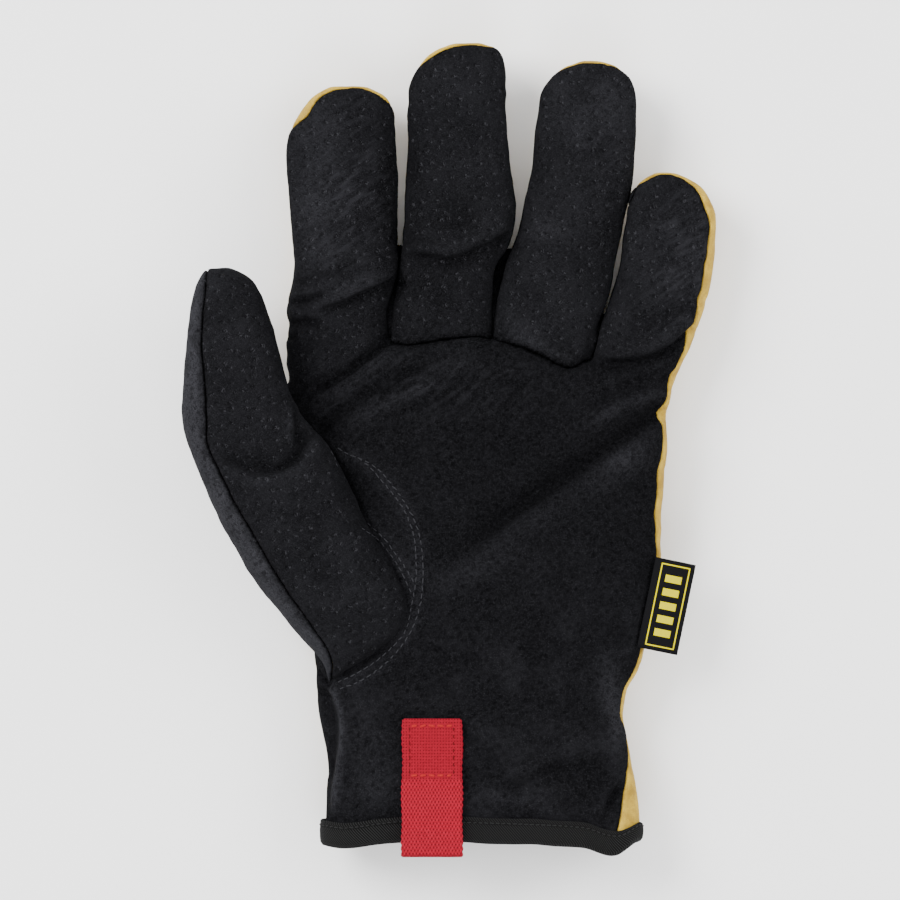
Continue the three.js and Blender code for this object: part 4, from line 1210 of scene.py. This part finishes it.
def make_camera_and_lights():
    """A long lens straight above the glove, as in the photo, with soft light from three sides."""
    camera = bpy.data.objects.new("camera", bpy.data.cameras.new("camera"))
    bpy.context.scene.collection.objects.link(camera)
    camera.data.sensor_width = VIEW["sensor"]
    camera.data.lens = VIEW["lens"]
    distance = VIEW["width"] * VIEW["lens"] / VIEW["sensor"] * MM
    camera.data.clip_end = 20
    camera.location = (VIEW["x"] * MM, VIEW["y"] * MM, VIEW["z"] * MM + distance)
    bpy.context.scene.camera = camera
    for name, (place, size, power) in LIGHTS.items():
        light = bpy.data.objects.new(name, bpy.data.lights.new(name, "AREA"))
        bpy.context.scene.collection.objects.link(light)
        light.data.size = size
        light.data.energy = power
        light.location = place
        light.rotation_mode = "QUATERNION"
        light.rotation_quaternion = (-Vector(place)).to_track_quat("-Z", "Y")
    world = bpy.data.worlds.new("studio")
    world.use_nodes = True
    sky = world.node_tree.nodes["Background"]
    sky.inputs["Color"].default_value = (1, 1, 1, 1)
    sky.inputs["Strength"].default_value = SKY
    bpy.context.scene.world = world


def make_floor():
    """A pale floor a fifth of a millimetre under the glove."""
    side = FLOOR_SIDE
    corners = np.array([(-side, -side, 0), (side, -side, 0), (side, side, 0), (-side, side, 0)])
    mesh = to_mesh("floor", corners - (0, 0, 0.0002), np.array([[0, 1, 2, 3]]))
    mesh.materials.append(floor_paint())
    floor = bpy.data.objects.new("floor", mesh)
    bpy.context.scene.collection.objects.link(floor)


def make_panels(materials):
    """The leather panels. Returns the finished outer points and faces for pieces that lie on them."""
    hand, thumb = hand_skin(), thumb_skin()
    thumb_tree, hand_tree = search_tree(thumb.points, thumb.faces), search_tree(hand.points, hand.faces)
    near_thumb = (hand["x"] < 0) & (hand["y"] > THUMB_SIDE[0]) & (hand["y"] < THUMB_SIDE[1])
    to_thumb = np.full(len(hand.points), JOIN["reach"])
    to_thumb[near_thumb] = distance_to(thumb_tree, hand.points[near_thumb], JOIN["reach"])
    to_hand = distance_to(hand_tree, thumb.points, JOIN["reach"])
    hand["thumb_hole"] = to_thumb
    thumb["root"] = to_hand
    # both sides sink into the seam between the thumb and the palm
    depth, width = JOIN["hand_sink"]
    hand.data[:, 2] -= depth * np.exp(-(np.maximum(to_thumb, 0) / width) ** 2) * (np.abs(to_thumb) < 5)
    depth, width = JOIN["thumb_sink"]
    sink = depth * np.exp(-(np.maximum(to_hand, 0) / width) ** 2)
    thumb.points = thumb.points - sink[:, None] * normals_of(thumb.points, thumb.faces)

    hand.cut("hem")
    hand.cut("thumb_hole", JOIN["hand_level"])
    for name in ("front_seam", "back_seam", "inset", "middle_ring"):
        hand.cut(name)
    above, outside = hand.at_faces("hem") > 0, hand.at_faces("thumb_hole") > JOIN["hand_level"]
    front, back = hand.at_faces("front_seam") > 0, hand.at_faces("back_seam") < 0
    inset = (hand.at_faces("inset") > 0) & front
    middle = hand.at_faces("middle_ring") < 0
    between = np.digitize(hand.at_faces("x") - plan_x("middle_ring", hand.at_faces("y")), (-14, 14))
    plan = {
        "palm_panel": front & ~inset & outside,
        "middle_finger_front": inset & middle,
        "ring_finger_front": inset & ~middle,
        "back_panel": back,
    }
    for i, gap in enumerate(GAPS):
        plan["finger_wall_" + gap] = ~front & ~back & (between == i)
    outer = []
    for name, chosen in plan.items():
        part = hand.only(chosen & above)
        held = (np.abs(part["hem"]) < 0.05) | (part["thumb_hole"] < JOIN["hand_level"] + 0.1)
        finish, slot = ("tan", "back_leather") if name == "back_panel" else ("suede", "palm_leather")
        panel_object(name, part, materials[finish], slot, held)
        outer.append((part.points, part.faces))

    thumb.cut("root", JOIN["thumb_level"])
    thumb.cut("seam")
    kept = thumb.at_faces("root") > JOIN["thumb_level"]
    seen = thumb.at_faces("seam") > 0
    for name, chosen in (("thumb_front_panel", kept & seen), ("thumb_back_panel", kept & ~seen)):
        part = thumb.only(chosen)
        held = part["root"] < JOIN["thumb_level"] + 0.1
        panel_object(name, part, materials["suede"], "palm_leather", held, radius=0.8, drop=0.6, apart=0.05)
        outer.append((part.points, part.faces))
    return joined(outer)


def ring_tube(rings):
    """A closed tube of profiles round a closed path: an array of path steps by profile points by 3."""
    steps, sides = rings.shape[:2]
    i, j = np.meshgrid(np.arange(steps), np.arange(sides), indexing="ij")
    a = i * sides + j
    b = i * sides + (j + 1) % sides
    c = ((i + 1) % steps) * sides + (j + 1) % sides
    d = ((i + 1) % steps) * sides + j
    return rings.reshape(-1, 3), np.stack([a, b, c, d], -1).reshape(-1, 4)


def binding_point(angle_count, lift, height):
    """Points round the cuff at a height above the hem and a distance off the leather's face."""
    ring = section_rings(HAND, np.array([float(HEM_ROW)]), angle_count, lift)[0]
    ring[:, 1] += height * (1 - TAPE["narrower"] * smoothstep(ring[:, 0], 49, 58) * (height > 0))
    return np.roll(ring, angle_count // 2, axis=0)


def make_binding(material, thread_material):
    """Twill tape folded over the hem, with its row of stitches on the outer face."""
    out, inside = TAPE["gap"] + TAPE["thickness"], -WALL - TAPE["gap"] - TAPE["thickness"]
    top, soft = TAPE["height"], 0.35
    # up the outer face's edge, down that face, under the hem, up the inner face and back round the leather
    profile = [
        (out - soft, top), (out, top - soft), (out + 0.12, top - 1.4), (out + 0.25, top * 0.5),
        (out + 0.15, 1.2), (out - 0.05, -0.2), (out - 0.7, -1.1), (-0.6, -1.35), (inside + 0.7, -1.1),
        (inside, -0.2), (inside, top * 0.5), (inside, top - soft), (inside + soft, top),
        (-WALL - TAPE["gap"], top - soft), (-WALL - TAPE["gap"], 0), (-WALL / 2, -0.4),
        (TAPE["gap"], 0), (TAPE["gap"], top - soft),
    ]
    steps = 520
    rings = np.stack([binding_point(steps, lift, height) for lift, height in profile], 1)
    points, faces = ring_tube(rings)
    seed = SEEDS["tape"]
    wave = 0.16 * noise(points, (9, 5, 9), seed) + 0.06 * noise(points, 2.5, seed + 1)
    centre = rings.mean((0, 1))
    outward = points - centre
    outward[:, 1] = 0
    outward /= np.linalg.norm(outward, axis=1)[:, None]
    points = points + wave[:, None] * outward
    points[:, 1] += 0.25 * noise(points * (1, 0, 1), (7, 1, 7), seed + 2)
    points[:, 2] = np.maximum(points[:, 2], 0.05)
    edge = binding_point(steps, out, 0)
    run = run_along(edge)
    heights = [height for lift, height in profile]
    values = {"run": np.repeat(run, len(profile)), "rise": np.tile(heights, steps)}
    make_object("cuff_binding", points, faces[:, ::-1], material, "binding_tape", ("cuff_binding",), values)
    line = binding_point(2400, out + 0.2, TAPE["stitched"])
    sizes = {"pitch": 1.75, "radius": 0.17}
    make_stitches("binding_stitches", [line], thread_material, "binding_tape", closed=True, **sizes)


def resampled(line, pitch, closed=False):
    """Places every pitch along a line of points, with the direction at each."""
    if closed:
        line = np.concatenate([line, line[:1]])
    length = run_along(line)
    count = max(1, int(round(length[-1] / pitch)))
    s = (np.arange(count) + 0.5) * length[-1] / count
    before, place, after = (
        np.stack([np.interp(at, length, line[:, k]) for k in range(3)], 1) for at in (s - 0.1, s, s + 0.1)
    )
    ahead = after - before
    return place, ahead / np.maximum(np.linalg.norm(ahead, axis=1), 1e-9)[:, None]


def make_stitches(
    name, lines, material, slot, closed=False, pitch=STITCH["pitch"], radius=STITCH["radius"],
    seed=SEEDS["stitches"],
):
    """Short stitches along lines that lie on the surface, each a slightly bent bead of thread."""
    rng = np.random.default_rng(seed)
    length = STITCH["length"] * pitch / STITCH["pitch"]
    skins = []
    for line in lines:
        places, directions = resampled(line, pitch, closed)
        for place, ahead in zip(places, directions):
            side = np.cross(ahead, (0, 0, 1.0))
            side /= max(np.linalg.norm(side), 1e-9)
            up = np.cross(side, ahead)
            turn = rng.normal(0, 0.13)
            ahead = ahead * math.cos(turn) + side * math.sin(turn)
            size = length * rng.uniform(0.78, 1.1)
            rings = []
            for share, wide, raised in BEAD:
                angle = np.arange(8) * math.pi / 4
                ring = np.outer(np.cos(angle), side) * 1.15 + np.outer(np.sin(angle), up) * 0.9
                rings.append(place + ahead * size * share + up * radius * raised + ring * radius * wide)
            skins.append(loft(np.array(rings)))
    make_object(name, *joined(skins), material, slot)


def on_surface(tree, line, lift):
    """A line of plan points dropped onto the leather from above."""
    out = []
    for x, y in line:
        place = tree.ray_cast((x, y, DROP), (0, 0, -1))[0]
        if place is not None:
            out.append((x, y, place.z + lift))
    return np.array(out)


def make_palm_stitches(tree, material):
    """The rows of stitches on the palm beside the thumb."""
    lines = [on_surface(tree, smooth_line(points, 0.4), 0.02) for points in STITCH_ROWS.values()]
    make_stitches("palm_stitches", lines, material, "palm_leather")


def make_web_folds(material):
    """The leather of the finger walls where it is folded deep between two fingers."""
    width = np.linspace(-WEB["half"], WEB["half"], 9)
    for gap, last in WEBS.items():
        rings = []
        for level in np.linspace(WEB["start"], last, 25):
            sag = WEB["top"] - WEB["fall"] * smoothstep(level, 36, last) - WEB["sag"] * (width * width)
            top = np.stack([plan_x(gap, level) + width, np.full(9, level), sag], 1)
            rings.append(np.concatenate([top, top[::-1] - (0, 0, WEB["thickness"])]))
        points, faces = loft(np.array(rings))
        make_object("fold_" + gap, points, faces[:, ::-1], material, "palm_leather")


def make_thumb_lip(tree, material):
    """The turned-up edge of the palm's leather that shows beside the thumb, painted pale along its length as
    a highlight.
    """
    line = smooth_line(THUMB_LIP, 0.5)
    ground = on_surface(tree, line + (2.2, 0.8), 0.0)
    ground[:, 2] = np.convolve(np.pad(ground[:, 2], 5, "edge"), np.ones(11) / 11, "valid")
    ground[:, :2] = line + (0.2, 0.1)
    rings = []
    for i, (x, y, z) in enumerate(ground):
        ahead = ground[min(i + 1, len(ground) - 1)] - ground[max(i - 1, 0)]
        side = np.array([ahead[1], -ahead[0], 0.0]) / max(np.hypot(ahead[0], ahead[1]), 1e-9)
        share = i / (len(ground) - 1)
        tall = LIP["low"] + LIP["rise"] * math.sin(math.pi * share) ** 0.6
        angle = np.arange(12) * math.pi / 6
        ring = np.outer(LIP["half"] * np.cos(angle), side) + np.outer(tall * np.sin(angle), (0, 0, 1.0))
        ring = ring - np.outer(LIP["lean"] * np.sin(angle), side)
        rings.append(np.array([x, y, z + LIP["lift"]]) + ring)
    points, faces = loft(np.array(rings))
    # painted highlight along the whole edge
    worn = np.full(len(points), 1.0)
    make_object("thumb_lip", points, faces, material, "palm_leather", values={"wear_and_painted_light": worn})


def tab_ground(tree, y):
    """Heights of what the webbing lies on at levels y: the leather, and the binding near the hem."""
    half = WEBBING["width"] / 2
    heights = []
    for level in y:
        xs = [WEBBING["middle"] + half * 0.9 * a for a in (-1, -0.5, 0, 0.5, 1)]
        found = [tree.ray_cast((x, max(level, -118.0), DROP), (0, 0, -1))[0].z for x in xs]
        heights.append(np.mean(found) + 0.35)
    padded = np.concatenate([np.full(4, heights[0]), heights, np.full(4, heights[-1])])
    over_tape = TAPE["gap"] + TAPE["thickness"] + 0.3
    tape_top = HEM_ROW + TAPE["height"]
    on_tape = over_tape * smoothstep(-y, -tape_top - 2.5, -tape_top + 0.5)
    return np.convolve(padded, np.ones(9) / 9, "valid") + on_tape


def tab_path(y, ground):
    """The webbing's middle in Y and Z: down the upper layer, round its loop and back up the lower one."""
    thick = WEBBING["thickness"]
    loose = smoothstep(-y, -WEBBING["sewn"], -WEBBING["sewn"] + 12)
    under = np.stack([y, ground + thick * 0.5], 1)
    upper = np.stack([y, ground + thick * 1.5 + 0.05 + 0.35 * loose], 1)
    middle_z = (under[-1, 1] + upper[-1, 1]) / 2
    radius = (upper[-1, 1] - under[-1, 1]) / 2
    turn = np.linspace(0, math.pi, 12)[1:-1]
    bend = np.stack([WEBBING["bottom"] + 0.4 - radius * np.sin(turn), middle_z + radius * np.cos(turn)], 1)
    return np.concatenate([upper, bend, under[::-1]])


def tab_rings(path):
    """Sections of the webbing: a flat strip with thin rounded edges, whose yarns loop out at the sides."""
    half, thick = WEBBING["width"] / 2, WEBBING["thickness"]
    step = np.gradient(path, axis=0)
    step /= np.linalg.norm(step, axis=1)[:, None]
    out = np.stack([step[:, 1], -step[:, 0]], 1)
    across = np.linspace(-1, 1, 39)
    face = [(a, 0.5 * (1 - 0.55 * max(0, (abs(a) - 0.955) / 0.045) ** 2)) for a in across]
    section = face + [(a, -h) for a, h in face[::-1]]
    rings = []
    for (py, pz), (oy, oz) in zip(path, out):
        loops = 0.11 * math.cos(py * math.pi / 0.94) + 0.14 * math.sin(py * 0.41 + 1)
        waist = 0.3 * math.exp(-((py + 93) / 4.5) ** 2)
        corner = 0.8 * max(0.0, 1 - (WEBBING["top"] - py) / 0.9) ** 2
        reach = half - 0.15 + loops - corner
        ring = []
        for a, h in section:
            x = WEBBING["middle"] + (reach - (waist if a < 0 else 0)) * a
            ring.append((x, py + oy * h * thick, pz + oz * h * thick))
        rings.append(ring)
    return np.array(rings)


def make_pull_tab(tree, material, thread_material, side_thread):
    """A webbing loop: sewn down at its top, over the binding, and turned back under itself below the hem."""
    y = np.linspace(WEBBING["top"], WEBBING["bottom"], 150)
    path = tab_path(y, tab_ground(tree, y))
    make_object("pull_tab", *loft(tab_rings(path)), material, "webbing", ("pull_tab",))
    half, upper = WEBBING["width"] / 2, path[:len(y)]
    left, right = WEBBING["middle"] - half + BOX["left"], WEBBING["middle"] + half - BOX["right"]
    low, high = WEBBING["sewn"] + BOX["low"], WEBBING["top"] - BOX["high"]
    corners = [(left, high), (right, high), (right, low), (left, low), (left, high)]
    lines = []
    for (x1, y1), (x2, y2) in zip(corners, corners[1:]):
        t = np.linspace(0, 1, 30)
        xs, ys = x1 + (x2 - x1) * t, y1 + (y2 - y1) * t
        face = np.interp(-ys, -y, upper[:, 1]) + WEBBING["thickness"] * 0.5
        lines.append(np.stack([xs, ys, face], 1))
    sizes = {"pitch": 2.75, "radius": 0.36, "seed": SEEDS["tab"]}
    make_stitches("tab_stitches", lines[0::2], thread_material, "webbing", **sizes)
    sunk = [line - (0, 0, 0.1) for line in lines[1::2]]
    sizes = {"pitch": 2.3, "radius": 0.2, "seed": SEEDS["tab_sides"]}
    make_stitches("tab_side_stitches", sunk, side_thread, "webbing", **sizes)


def make_label(materials):
    """A small woven tab that stands out of the side seam, with a thin frame line and plain bars."""
    low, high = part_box("side_label")
    middle = np.array((low + high) / 2) / MM
    turn, droop = LABEL["turn"], LABEL["droop"]

    def placed(u, v, lift):
        """u along the width and v along the length, both from the label's middle."""
        curl = -0.012 * (u + LABEL["width"] / 2) ** 2 + 0.25 * math.sin(v * 0.16)
        x, z = u * math.cos(droop), curl - u * math.sin(droop) + lift
        return (
            middle[0] + x * math.cos(turn) - v * math.sin(turn),
            middle[1] + x * math.sin(turn) + v * math.cos(turn),
            middle[2] + z + 0.3,
        )

    def slab(u1, u2, v1, v2, bottom, top, soft):
        """A flat block between two heights, with its ends rounded over a length of soft."""
        us = np.linspace(u1, u2, 15)
        rings = []
        for v in np.linspace(v1, v2, 25):
            edge = min(v - v1, v2 - v)
            pinch = soft * (1 - math.sqrt(max(0.0, 1 - (1 - min(edge / max(soft, 1e-6), 1)) ** 2)))
            ring = [placed(u, v, top - pinch) for u in us] + [placed(u, v, bottom + pinch) for u in us[::-1]]
            rings.append(ring)
        return loft(np.array(rings))

    half_w, half_l, half_t = LABEL["width"] / 2, LABEL["length"] / 2, LABEL["thickness"] / 2
    points, faces = slab(-half_w, half_w, -half_l, half_l, -half_t, half_t, 0.2)
    make_object("side_label", points, faces[:, ::-1], materials["label"], "label", ("side_label",))
    left, right, top = -half_w + FRAME["left"], half_w - FRAME["right"], half_l - FRAME["ends"]
    line = LABEL["line"]
    strips = [
        (left, left + line, -top, top), (right - line, right, -top, top),
        (left, right, top - line, top), (left, right, -top, -top + line),
    ]
    inset, half = FRAME["bar_inset"], FRAME["bar_half"]
    strips += [(left + inset, right - inset, v - half, v + half) for v in BARS]
    art = [slab(u1, u2, v1, v2, half_t - 0.1, half_t + 0.07, 0.0) for u1, u2, v1, v2 in strips]
    points, faces = joined(art)
    make_object("label_lines", points, faces[:, ::-1], materials["label_line"], "label")


def main():
    """Makes the materials, the studio and then every piece of the glove."""
    materials = {
        "suede": suede(), "tan": tan_leather(), "twill": twill(), "webbing": webbing_cloth(),
        "thread": thread("grey_thread", (0.027, 0.027, 0.031)),
        "tape_thread": thread("black_thread", grey(0.019)),
        "tab_thread": thread("red_thread", (0.37, 0.016, 0.016)),
        "tab_side_thread": thread("dark_red_thread", (0.095, 0.0020, 0.0030)),
        "label": label_cloth("black_label", (0.0055, 0.0055, 0.0062)),
        "label_line": label_cloth("yellow_label", (0.56, 0.48, 0.0)),
    }
    make_camera_and_lights()
    make_floor()
    tree = search_tree(*make_panels(materials))
    make_binding(materials["twill"], materials["tape_thread"])
    make_palm_stitches(tree, materials["thread"])
    make_thumb_lip(tree, materials["suede"])
    make_web_folds(materials["suede"])
    make_pull_tab(tree, materials["webbing"], materials["tab_thread"], materials["tab_side_thread"])
    make_label(materials)


main()
